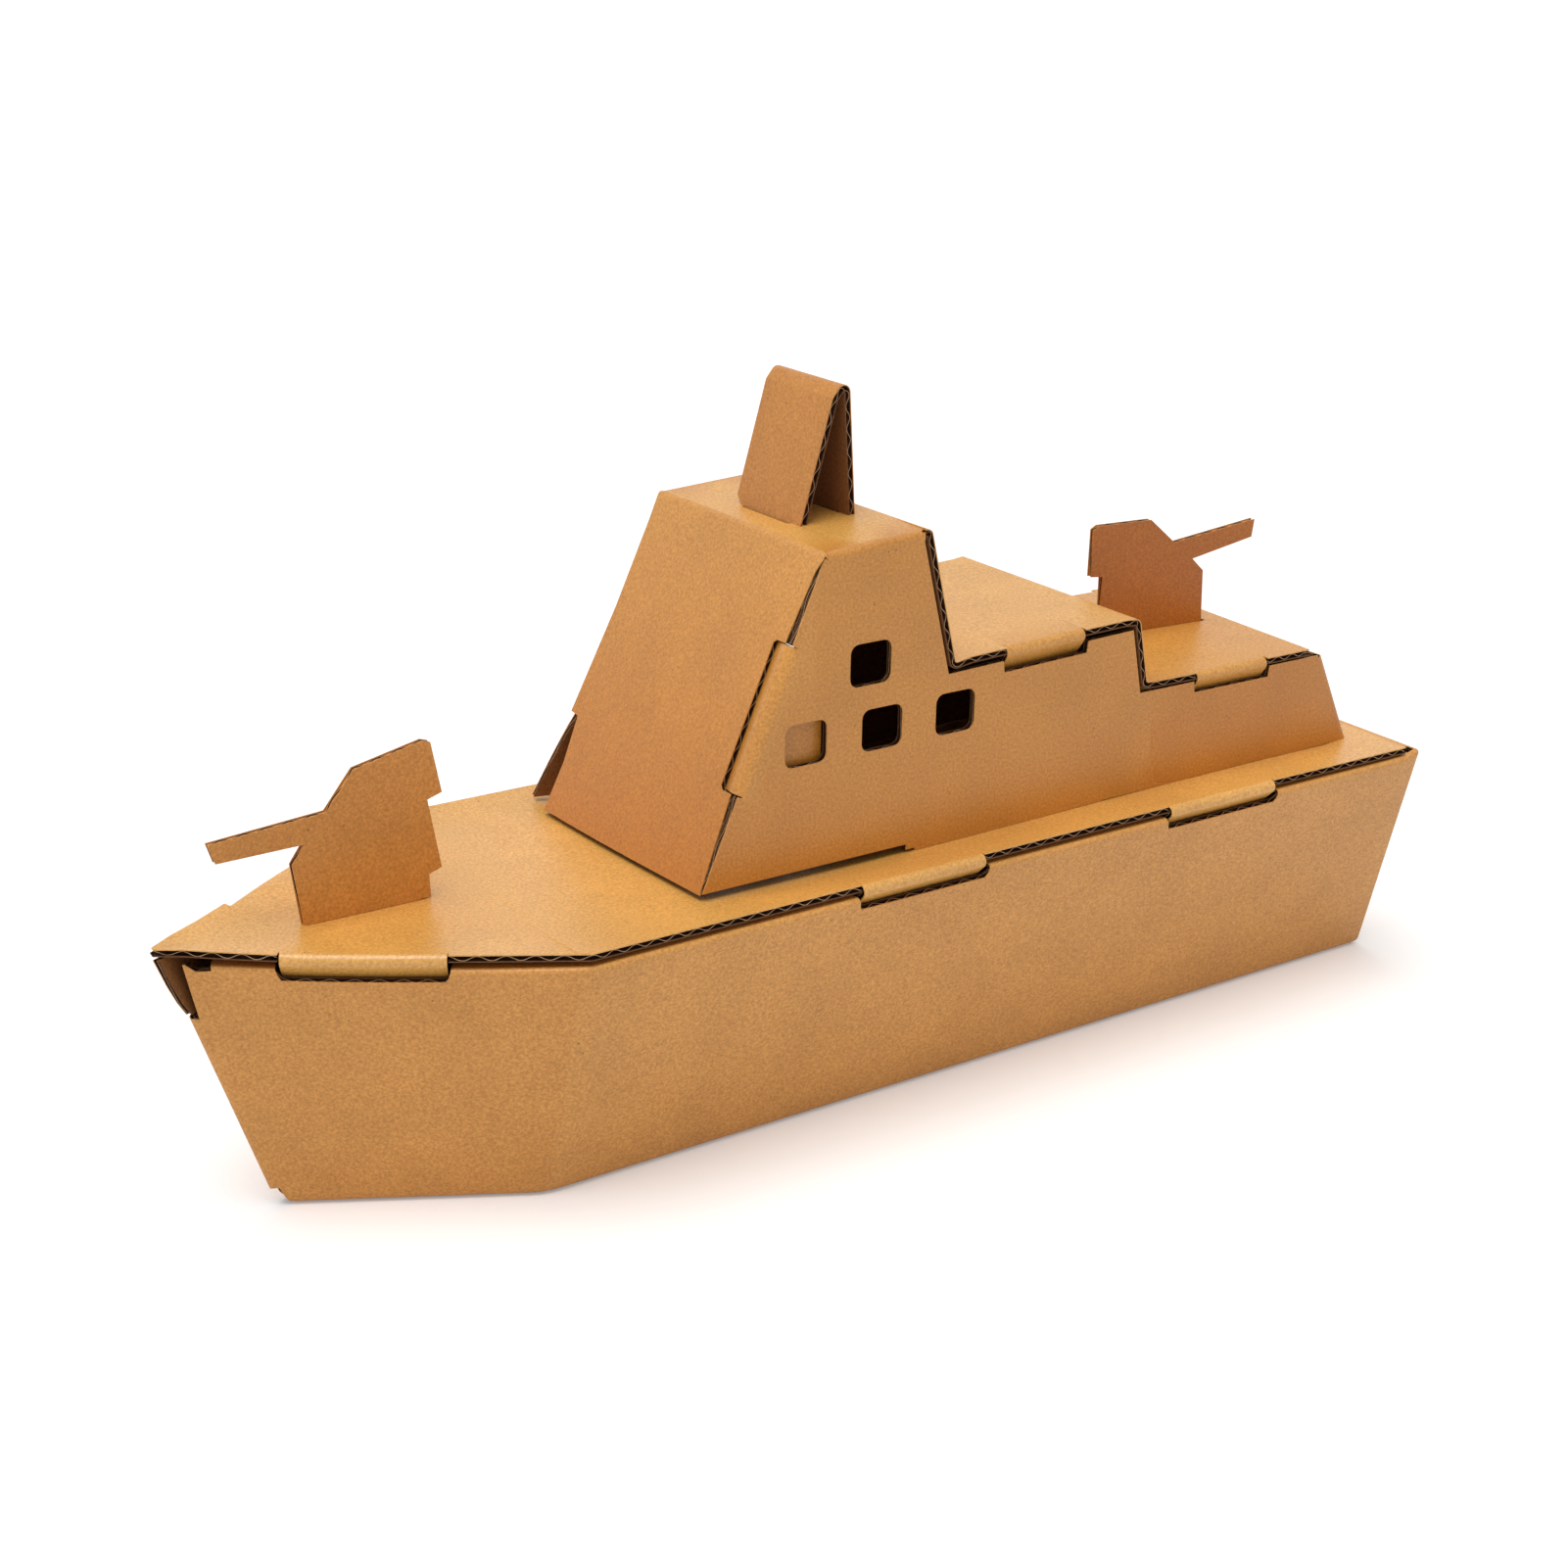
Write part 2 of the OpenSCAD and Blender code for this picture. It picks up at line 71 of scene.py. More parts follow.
def kraftTint(name, dark, light, look):
    mat = bpy.data.materials.new(name)
    mat.use_nodes = True
    tree = mat.node_tree
    spot = addNode(tree, "ShaderNodeTexCoord", {}, "Object")

    def noise(scale, detail, rough, stretch=(1, 1, 1)):
        place = addNode(tree, "ShaderNodeMapping", {"Scale": stretch, "Vector": spot})
        inputs = {"Scale": scale, "Detail": detail, "Roughness": rough, "Vector": place}
        return addNode(tree, "ShaderNodeTexNoise", inputs, "Fac")

    def ramp(value, low, high, start=0.0, end=1.0):
        inputs = {"Value": value, "From Min": low, "From Max": high, "To Min": start, "To Max": end}
        return addNode(tree, "ShaderNodeMapRange", inputs, "Result")

    def blend(kind, fac, a, b):  # 6, 7 and 2 are the colour sockets
        return addNode(tree, "ShaderNodeMix", {0: fac, 6: a, 7: b}, 2, data_type="RGBA", blend_type=kind)

    grain = noise(look["grain"], 5, 0.7)
    cloud = noise(look["cloud"], 3, 0.5)
    tint = blend("MIX", ramp(grain, 0.36, 0.64), (*dark, 1), (*light, 1))
    patchy = blend("MIX", ramp(cloud, 0.3, 0.7), (0.86, 0.84, 0.8, 1), (1.1, 1.1, 1.1, 1))
    tint = blend("MULTIPLY", 0.5, tint, patchy)
    fibre = noise(look["grain"] * 0.5, 2, 0.5, (1, 5, 3))
    tint = blend("MIX", ramp(fibre, 0.66, 0.9), tint, (*[min(1, c * 1.25 + 0.03) for c in light], 1))
    speck = addNode(tree, "ShaderNodeTexVoronoi", {"Scale": look["speck"], "Vector": spot}, "Distance")
    few = {0: ramp(speck, 0.16, 0.05), 1: ramp(noise(look["speck"] * 0.35, 1, 0.5), 0.6, 0.7)}
    rare = addNode(tree, "ShaderNodeMath", few, operation="MULTIPLY")
    tint = blend("MIX", rare, tint, (*[c * 0.45 for c in dark], 1))
    # painted shade: a point attribute mixes the colour towards its product with the look's last colour, darkening
    # surfaces where shade is painted in
    tone = addNode(tree, "ShaderNodeAttribute", {}, "Fac", attribute_name="tone")
    tint = blend("MIX", tone, tint, blend("MULTIPLY", 1.0, tint, look["paintedShadeTint"]))
    rough, spread = look["rough"], look["roughSpread"]
    bump = addNode(tree, "ShaderNodeBump", {"Strength": look["bump"], "Distance": look["bumpDeep"], "Height": grain})
    feed(tree, tree.nodes["Principled BSDF"], {
        "Base Color": tint, "Roughness": ramp(grain, 0.3, 0.7, rough + spread, rough - spread),
        "Specular IOR Level": look["gloss"], "Normal": bump})
    return mat


faceLook = {"rough": 0.4, "roughSpread": 0.06, "gloss": 0.5, "grain": 1250.0, "cloud": 45.0, "speck": 420.0,
            "bump": 0.12, "bumpDeep": 0.0004, "paintedShadeTint": (0.74, 0.5, 0.04, 1)}  # the last colour is what surfaces with painted shade are multiplied by
paleLook = dict(faceLook, rough=0.36, gloss=0.75, bump=0.05)
houseLook = dict(paleLook, rough=0.42)
edgeLook = dict(faceLook, gloss=0.2, rough=0.85, bump=0.4)
hullKraft = kraftTint("kraftHull", (0.53, 0.225, 0.046), (0.80, 0.385, 0.090), faceLook)
deckKraft = kraftTint("kraftDeck", (0.595, 0.278, 0.056), (0.875, 0.463, 0.107), paleLook)
houseKraft = kraftTint("kraftHouse", (0.575, 0.265, 0.05), (0.84, 0.438, 0.098), houseLook)
mastKraft = kraftTint("kraftMast", (0.445, 0.167, 0.024), (0.645, 0.268, 0.045), faceLook)
gunKraft = kraftTint("kraftGun", (0.485, 0.188, 0.031), (0.71, 0.306, 0.057), faceLook)
# the backs of the sheets, painted dark for the shade inside the hull, deckhouse and mast
shadeKraft = kraftTint("kraftInnerShade", (0.20, 0.075, 0.02), (0.29, 0.115, 0.034), edgeLook)
# the back liner's cut edge and some closed edges, painted dark for the shade along the board's edges
cutEdgeShade = kraftTint("kraftCutEdgeShade", (0.12, 0.052, 0.022), (0.21, 0.10, 0.044), edgeLook)
# the channel walls and the flute sides, painted near black for the shade inside the board's edge
coreShade = kraftTint("kraftCoreShade", (0.035, 0.012, 0.006), (0.07, 0.026, 0.011), edgeLook)
flutePaper = kraftTint("kraftFlute", (0.40, 0.24, 0.13), (0.62, 0.40, 0.23), edgeLook)
print("materials ready")


def lerp(a, b, f):
    return a + (b - a) * f


def clamp01(f):
    return max(0, min(1, f))


def turnBetween(a, b):
    return acos(max(-1, min(1, a.dot(b))))


def box2(x0, y0, x1, y1):
    return [(x0, y0), (x1, y0), (x1, y1), (x0, y1)]


def ranged(low, high, step):
    count = max(1, round((high - low) / step))
    return [low + (high - low) * i / count for i in range(count + 1)]


def within(p, poly):
    hit = False
    for i, a in enumerate(poly):
        b = poly[i - 1]
        if (a[1] > p[1]) != (b[1] > p[1]) and p[0] < (b[0] - a[0]) * (p[1] - a[1]) / (b[1] - a[1]) + a[0]:
            hit = not hit
    return hit


def nearEdge(p, poly, gap=2e-3):
    p = Vector(p)
    for i, b in enumerate(poly):
        a, b = Vector(poly[i - 1]), Vector(b)
        d = b - a
        f = clamp01((p - a).dot(d) / max(d.length_squared, 1e-12))
        if (a + d * f - p).length < gap:
            return True
    return False


# a sheet is cut flat, then each region of it is folded into place
def foldSheet(regions, holes, lines, flip=False, weld=False):
    flat, edges = [], []
    for loop in [r["cut"] for r in regions] + holes:
        n = len(flat)
        flat += [Vector(p) for p in loop]
        edges += [(n + i, n + (i + 1) % len(loop)) for i in range(len(loop))]
    for a, b in lines:
        edges.append((len(flat), len(flat) + 1))
        flat += [Vector(a), Vector(b)]
    cells = delaunay_2d_cdt(flat, edges, [], 0, 1e-4)
    pts, faces = cells[0], cells[2]
    keep = []
    for face in faces:
        mid = sum((pts[i] for i in face), Vector((0, 0))) / len(face)
        if any(within(mid, r["cut"]) for r in regions) and not any(within(mid, h) for h in holes):
            keep.append(tuple(face))

    def ownerOf(p):
        return next((r for r in regions if within(p, r["cut"]) or nearEdge(p, r["cut"])), None)

    def folded(p, owner):
        place, h = owner["place"], 0.02  # a small step, to find the way it faces
        at = place(p[0], p[1])
        if "facing" in owner:
            out = owner["facing"](p[0], p[1])
        else:
            sideways = place(p[0] + h, p[1]) - place(p[0] - h, p[1])
            out = sideways.cross(place(p[0], p[1] + h) - place(p[0], p[1] - h))
            out = (-out if flip else out).normalized()
        return {"at": at, "out": out, "thick": owner["thick"](p[1]) if "thick" in owner else board["thick"]}

    spots, index, remap = [], {}, {}
    for i in sorted({i for f in keep for i in f}):
        p = pts[i]
        owner = ownerOf(p)
        spot = folded(p, owner)
        key = tuple(round(c * 500) for c in spot["at"]) if weld else i  # welds what folds onto one place
        if key not in index:
            index[key] = len(spots)
            # how much shade is painted in at this point
            tone = owner["tone"](spot["at"]) if "tone" in owner else 0.0
            plain = owner["plain"](spot["at"]) if "plain" in owner else None  # a closed edge, in this material
            spots.append(dict(spot, flat=p, owner=owner, tone=tone, plain=plain))
        remap[i] = index[key]
    tris = []
    for f in keep:
        g = [remap[i] for i in f]
        if len(set(g)) == 3:
            tris.append(tuple(reversed(g)) if flip else tuple(g))

    def recessed(spot, mitre):  # the spot a little way in from the cut edge, along the sheet
        p = spot["flat"] + mitre * board["recess" if spot["plain"] is None else "groove"]
        return folded(p, ownerOf(p) or spot["owner"])
    return spots, tris, flip, recessed


def rimOf(tris):
    once = {}
    for t in tris:
        for i in range(3):
            once[(t[i], t[(i + 1) % 3])] = True
    return [e for e in once if (e[1], e[0]) not in once]


# gives a folded sheet its two paper faces and the open channel along every cut edge
def boardMesh(name, sheet, mats):
    spots, tris, flip, recessed = sheet
    liner = board["liner"]
    rim = rimOf(tris)
    into = {k: [] for e in rim for k in e}
    for i, j in rim:
        run = spots[j]["flat"] - spots[i]["flat"]
        if 1e-6 < run.length < 200:  # a welded seam jumps across the flat sheet
            across = Vector((run.y, -run.x) if flip else (-run.y, run.x)).normalized()
            into[i].append(across)
            into[j].append(across)
    verts = [s["at"] for s in spots] + [s["at"] - s["out"] * s["thick"] for s in spots]
    uvs = [s["flat"] for s in spots] * 2
    n = len(spots)
    channel = {}
    for k, ways in into.items():
        total = sum(ways, Vector((0, 0)))
        mitre = total.normalized() * min(board["mitre"], len(ways) / max(total.length, 0.3))
        spot, deep = spots[k], recessed(spots[k], mitre)
        spot["deep"] = deep
        channel[k] = len(verts)
        verts += [spot["at"] - spot["out"] * liner, deep["at"] - deep["out"] * liner,
                  deep["at"] - deep["out"] * (deep["thick"] - liner),
                  spot["at"] - spot["out"] * (spot["thick"] - liner)]
        uvs += [spot["flat"]] * 4
    faces, kinds = [], []  # kinds: 0 face, 1 cut paper, painted dark for shade, 2 core, painted dark for the shade in the channel, 3 back
    for t in tris:
        faces += [t, tuple(n + i for i in reversed(t))]
        kinds += [0, 3]
    for i, j in rim:
        a, b = channel[i], channel[j]
        faces += [(i, a, b, j), (a, a + 1, b + 1, b), (a + 1, a + 2, b + 2, b + 1),
                  (a + 2, a + 3, b + 3, b + 2), (a + 3, n + i, n + j, b + 3)]
        flush = spots[j]["plain"] if spots[i]["plain"] is not None else None
        kinds += [0, 2, 2, 2, 1] if flush is None else [0] + [flush] * 4
    mesh = bpy.data.meshes.new(name)
    mesh.from_pydata([v * mm for v in verts], [], faces)
    for m in mats:
        mesh.materials.append(m)
    mesh.polygons.foreach_set("material_index", kinds)
    mesh.shade_smooth()
    layer = mesh.uv_layers.new(name="flat")
    for loop in mesh.loops:
        layer.data[loop.index].uv = uvs[loop.vertex_index] * mm
    # painted shade, per point
    mesh.attributes.new("tone", "FLOAT", "POINT")
    for k, spot in enumerate(spots):
        mesh.attributes["tone"].data[k].value = spot["tone"]
    bm = bmesh.new()
    bm.from_mesh(mesh)
    for e in bm.edges:
        e.smooth = len(e.link_faces) == 2 and e.calc_face_angle(0) < radians(board["sharp"])
    bm.to_mesh(mesh)
    bm.free()
    return newObject(name, mesh), rim


# wavy layer that shows along the cut edges, swept by nodes
def fluteTree():
    tree = bpy.data.node_groups.new("fluteEdge", "GeometryNodeTree")
    sockets = {"Geometry": "Geometry", "Pitch": "Float", "Height": "Float", "Paper": "Float", "Step": "Float",
               "Paper Edge": "Material", "Paper Side Shade": "Material"}
    for label, kind in sockets.items():
        tree.interface.new_socket(label, in_out="INPUT", socket_type="NodeSocket" + kind)
    tree.interface.new_socket("Geometry", in_out="OUTPUT", socket_type="NodeSocketGeometry")
    start = tree.nodes.new("NodeGroupInput").outputs

    def add(kind, inputs, **settings):
        return addNode(tree, kind, inputs, **settings)

    def named(label, kind):
        return add("GeometryNodeInputNamedAttribute", {"Name": label}, out="Attribute", data_type=kind)

    def scaled(vector, amount):
        return add("ShaderNodeVectorMath", {0: vector, "Scale": amount}, operation="SCALE")

    curve = add("GeometryNodeMeshToCurve", {"Mesh": start["Geometry"]})
    dots = add("GeometryNodeResampleCurve", {"Curve": curve, "Length": start["Step"]}, mode="LENGTH")
    normal = named("boardNormal", "FLOAT_VECTOR")
    turn = add("ShaderNodeMath", {0: named("fluteCoord", "FLOAT"), 1: 2 * pi}, operation="MULTIPLY")
    turn = add("ShaderNodeMath", {0: turn, 1: start["Pitch"]}, operation="DIVIDE")
    wave = add("ShaderNodeMath", {0: turn}, operation="SINE")
    wave = add("ShaderNodeMath", {0: wave, 1: start["Height"]}, operation="MULTIPLY")
    shift = add("GeometryNodeSetPosition", {"Geometry": dots, "Offset": scaled(normal, wave)})
    wire = add("GeometryNodeCurveToMesh", {"Curve": shift})
    deep = {"Mesh": wire, "Offset": scaled(normal, start["Paper"]), "Offset Scale": 1}
    paper = add("GeometryNodeExtrudeMesh", deep, mode="EDGES")
    deep = {"Mesh": paper, "Offset": named("toEdge", "FLOAT_VECTOR"), "Offset Scale": 1, "Individual": False}
    reach = add("GeometryNodeExtrudeMesh", deep, mode="FACES")
    real = add("GeometryNodeRealizeInstances", {"Geometry": reach})
    # the flute sides take painted shade; only the cut tips keep the flute paper's colour
    sides = add("GeometryNodeSetMaterial", {"Geometry": real, "Material": start["Paper Side Shade"]})
    top = reach.node.outputs["Top"]
    tips = add("GeometryNodeSetMaterial", {"Geometry": sides, "Selection": top, "Material": start["Paper Edge"]})
    feed(tree, tree.nodes.new("NodeGroupOutput"), {"Geometry": tips})
    return tree


fluteNodes = fluteTree()


def fluteStrip(name, spots, rim):
    used = sorted({i for e in rim for i in e})
    order = {k: i for i, k in enumerate(used)}
    mesh = bpy.data.meshes.new(name)

    def middle(spot):
        return spot["at"] - spot["out"] * (spot["thick"] + flute["paper"]) / 2

    mesh.from_pydata([middle(spots[k]["deep"]) * mm for k in used], [(order[i], order[j]) for i, j in rim], [])
    labels = {"boardNormal": "FLOAT_VECTOR", "toEdge": "FLOAT_VECTOR", "fluteCoord": "FLOAT"}
    for label, kind in labels.items():
        mesh.attributes.new(label, kind, "POINT")
    layers, lined = mesh.attributes, 2 * board["liner"]
    for k, i in order.items():
        deep = spots[k]["deep"]
        room = (min(deep["thick"], spots[k]["thick"]) - lined) / (board["thick"] - lined)  # less where it is crushed
        layers["boardNormal"].data[i].vector = deep["out"] * room
        layers["toEdge"].data[i].vector = (middle(spots[k]) - middle(deep)) * flute["reach"] * mm
        layers["fluteCoord"].data[i].value = spots[k]["flat"][0] * mm
    obj = newObject(name, mesh)
    mod = obj.modifiers.new("flutes", "NODES")
    mod.node_group = fluteNodes
    values = {label.title(): flute[label] * mm for label in ("pitch", "height", "paper", "step")}
    values.update({"Paper Edge": flutePaper, "Paper Side Shade": coreShade})
    for item in fluteNodes.interface.items_tree:
        if item.in_out == "INPUT" and item.name in values:
            mod[item.identifier] = values[item.name]
    bpy.context.view_layer.update()
    done = bpy.data.meshes.new_from_object(obj.evaluated_get(bpy.context.evaluated_depsgraph_get()))
    obj.modifiers.remove(mod)
    obj.data = done
    done.name = name
    for label in labels:
        layer = done.attributes.get(label)
        if layer:
            done.attributes.remove(layer)
    bm = bmesh.new()
    bm.from_mesh(done)
    bmesh.ops.recalc_face_normals(bm, faces=bm.faces)
    bm.to_mesh(done)
    bm.free()
    return obj


def makePiece(name, node, sheet, faceMat, innerMat):
    body, rim = boardMesh(name + "Board", sheet, (faceMat, cutEdgeShade, coreShade, innerMat))
    waves = fluteStrip(name + "Flutes", sheet[0], rim)
    for obj in (body, waves):
        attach(obj, "root")
    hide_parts(node)
    print(name, "faces", len(body.data.polygons), "flute faces", len(waves.data.polygons))


# a path of straight runs with an arc at each corner, measured along its face
def bentPath(points, radii):
    points = [Vector(p) for p in points]
    runs, arcs, total = [], [], 0.0
    trims = [0.0] * len(points)
    for i in range(1, len(points) - 1):
        a, b = (points[i] - points[i - 1]).normalized(), (points[i + 1] - points[i]).normalized()
        trims[i] = radii[i] * tan(turnBetween(a, b) / 2)
    for i in range(len(points) - 1):
        d = (points[i + 1] - points[i]).normalized()
        length = (points[i + 1] - points[i]).length - trims[i] - trims[i + 1]
        runs.append({"from": points[i] + d * trims[i], "way": d, "s": total, "len": length, "trim": trims[i]})
        total += length
        if i + 2 < len(points):
            e = (points[i + 2] - points[i + 1]).normalized()
            angle = turnBetween(d, e)
            turn = 1 if d.x * e.y - d.y * e.x > 0 else -1
            arcs.append({"s": total, "len": radii[i + 1] * angle, "r": radii[i + 1], "turn": turn, "way": d,
                         "from": points[i + 1] - d * trims[i + 1]})
            total += radii[i + 1] * angle

    def at(s):
        for arc in arcs:
            if arc["s"] < s < arc["s"] + arc["len"]:
                angle = (s - arc["s"]) / arc["r"]
                side = Vector((-arc["way"].y, arc["way"].x)) * arc["turn"]
                ahead = arc["from"] + arc["way"] * arc["r"] * sin(angle)
                return ahead + side * arc["r"] * (1 - cos(angle))
        run = [r for r in runs if r["s"] <= s + 1e-9] or runs[:1]
        return run[-1]["from"] + run[-1]["way"] * (s - run[-1]["s"])

    def along(corner, distance):  # length at a distance past a corner
        return runs[corner]["s"] + distance - runs[corner]["trim"]

    steps = board["foldSteps"]
    bends = [arc["s"] + arc["len"] * f / steps for arc in arcs for f in range(steps + 1)]
    return {"at": at, "along": along, "len": total, "bends": bends}


# main stations of the ship, in millimetres
hull = {"keelLen": 366.4, "keelHalf": 34.0, "keelBow": 62.6, "stemRake": 24.4, "sternRake": 8.8, "out": 1.2,
        "stemOver": 1, "stemBack": 0.5, "sternOver": 1.9, "softBlend": 6.0, "sternBlend": 1.6, "stemBlend": 4.2,
        "slit": 17.0, "slitWide": 0.4, "wallLen": 72, "wallStart": 1.8, "slant": 1.05, "meet": 12.7, "bowPaintedShade": 0.14}
deck = {"top": 76.4, "len": 380.0, "half": 56.0, "bow": 90.6, "tipReach": 1.5,
        "tabLen": 41.0, "sideTabs": (102.9, 212.1), "bowTab": 50.0, "sideEase": 0.2, "bowEase": -0.8,
        "notchDrop": 6.4, "notchEnd": 0.3, "tipLift": 2.8, "tipRun": 48,
        "bowLift": 3.4, "bowLiftAt": 46, "bowLiftRun": 30,
        "score": 107.6, "scoreSpan": (11, 53), "scoreDeep": 0.16, "scoreWide": 0.45, "rimRise": 0.6,
        "sag": 1.4, "sagAt": 10, "sagRun": 90, "aftDrop": 0.5, "aftFrom": 140, "aftRun": 40}
tipX = (hull["keelLen"] + hull["stemRake"] + deck["tipReach"]) / 2
stemFootX = tipX - deck["tipReach"] - hull["stemRake"]
sternFootX = stemFootX - hull["keelLen"]
shoulderX = tipX - deck["bow"]
deckAftX = tipX - deck["len"]
hullTop = deck["top"] - board["thick"] - board["lip"]
hullHalf = deck["half"] + hull["out"]
sternTopX = sternFootX + hull["sternRake"] - hull["sternOver"]
kneeX = stemFootX - hull["keelBow"]


def hullLine(stemX, bowX, sternX, half, z):  # the hull's five corners at one height, round from the stem
    line = [Vector((stemX, 0, z))]
    return line + [Vector((x, y, z)) for x, y in ((bowX, half), (sternX, half), (sternX, -half), (bowX, -half))]


topLine = hullLine(stemFootX + hull["stemRake"] + hull["stemOver"], shoulderX, sternTopX, hullHalf, hullTop)
footLine = hullLine(stemFootX - hull["stemBack"], kneeX, sternFootX, hull["keelHalf"], 0)
girth = [(topLine[(i + 1) % 5] - topLine[i]).length for i in range(5)]
marks = [sum(girth[:i]) for i in range(6)]
cornerBlend = [hull["stemBlend"], hull["softBlend"], hull["sternBlend"], hull["sternBlend"], hull["softBlend"]]
wallRows, foldRows = 70.0, 8.0
creaseSteps = (-1.2, -0.5, 0, 0.5, 1.2)  # rows of points on either side of a crease
# the hull's top edge is folded in under the deck
roll = {"r": 1.3, "turn": 1.9, "flange": 5.0, "crush": 1.1, "lift": 0.3, "push": 0.25, "bowDrop": 0.6, "bowFrom": 95,
        "bowRun": 30, "follow": 0.8, "sternRise": 1.5, "sternReach": 7, "sternRun": 6}


def liftAt(x, y):  # the deck and the stem rise towards the tip, and a little more on the starboard bow
    star = clamp01(-y / max(1, (tipX - x) * deck["half"] / deck["bow"]))
    star = star * star * (3 - 2 * star) * exp(-((x - tipX + deck["bowLiftAt"]) / deck["bowLiftRun"]) ** 2)
    return deck["tipLift"] * max(0, (x - tipX + deck["tipRun"]) / deck["tipRun"]) ** 2 + deck["bowLift"] * star


def straightEdge(line, seg, g):
    return lerp(line[seg % 5], line[(seg + 1) % 5], (g - marks[seg % 5]) / girth[seg % 5])


def hullEdge(line, g):
    for c in range(6):
        w, k = cornerBlend[c % 5], c % 5
        if abs(g - marks[c]) <= w:
            h = (g - marks[c] + w) / (2 * w)
            before, after = (k - 1) % 5, k
            a = straightEdge(line, before, marks[before] + girth[before] - w)
            b = straightEdge(line, after, marks[after] + w)
            return lerp(lerp(a, line[k], h), lerp(line[k], b, h), h)
    return straightEdge(line, max([i for i in range(5) if marks[i] <= g] or [0]), g)


def hullFold(g, v, edge=hullEdge, rolled=True):
    def inward(line, nudge=0.2):
        run = edge(line, g + nudge) - edge(line, g - nudge)
        return Vector((-run.y, run.x, 0)).normalized()

    top, foot = edge(topLine, g), edge(footLine, g)
    lowIn, topIn = inward(footLine), inward(topLine)
    reach = roll["sternReach"]
    stern = clamp01(min(g - marks[2] + reach, marks[3] + reach - g) / roll["sternRun"])
    climb = roll["lift"] - roll["bowDrop"] * clamp01((top.x - roll["bowFrom"]) / roll["bowRun"])
    climb += roll["follow"] * liftAt(top.x, top.y)
    climb += roll["sternRise"] * stern * stern * (3 - 2 * stern)  # the transom stands up to the deck's top
    top = top - topIn * roll["push"] + up * climb
    wall = (foot - top).normalized()
    lowSide = (lowIn - wall * lowIn.dot(wall)).normalized()
    highSide = (topIn - wall * topIn.dot(wall)).normalized()
    lowTurn, highTurn = turnBetween(wall, lowIn), turnBetween(-wall, topIn)
    r, k = board["fold"], roll["r"]
    start, end = k * tan(highTurn / 2), (foot - top).length - r * tan(lowTurn / 2)
    if v < 0 and rolled:
        a = min(-v / k, highTurn)
        p = top + wall * (start - k * sin(a)) + highSide * k * (1 - cos(a))
        p += (highSide * sin(a) - wall * cos(a)) * max(0, -v - k * highTurn)
        n = -highSide * cos(a) - wall * sin(a)
    elif v <= wallRows:
        p = top + wall * lerp(start, end, v / wallRows)
        n = -lerp(highSide, lowSide, max(0, v / wallRows))
    else:
        a = lowTurn * (v - wallRows) / foldRows
        p = top + wall * (end + r * sin(a)) + lowSide * r * (1 - cos(a))
        n = wall * sin(a) - lowSide * cos(a)
    return p, n.normalized()


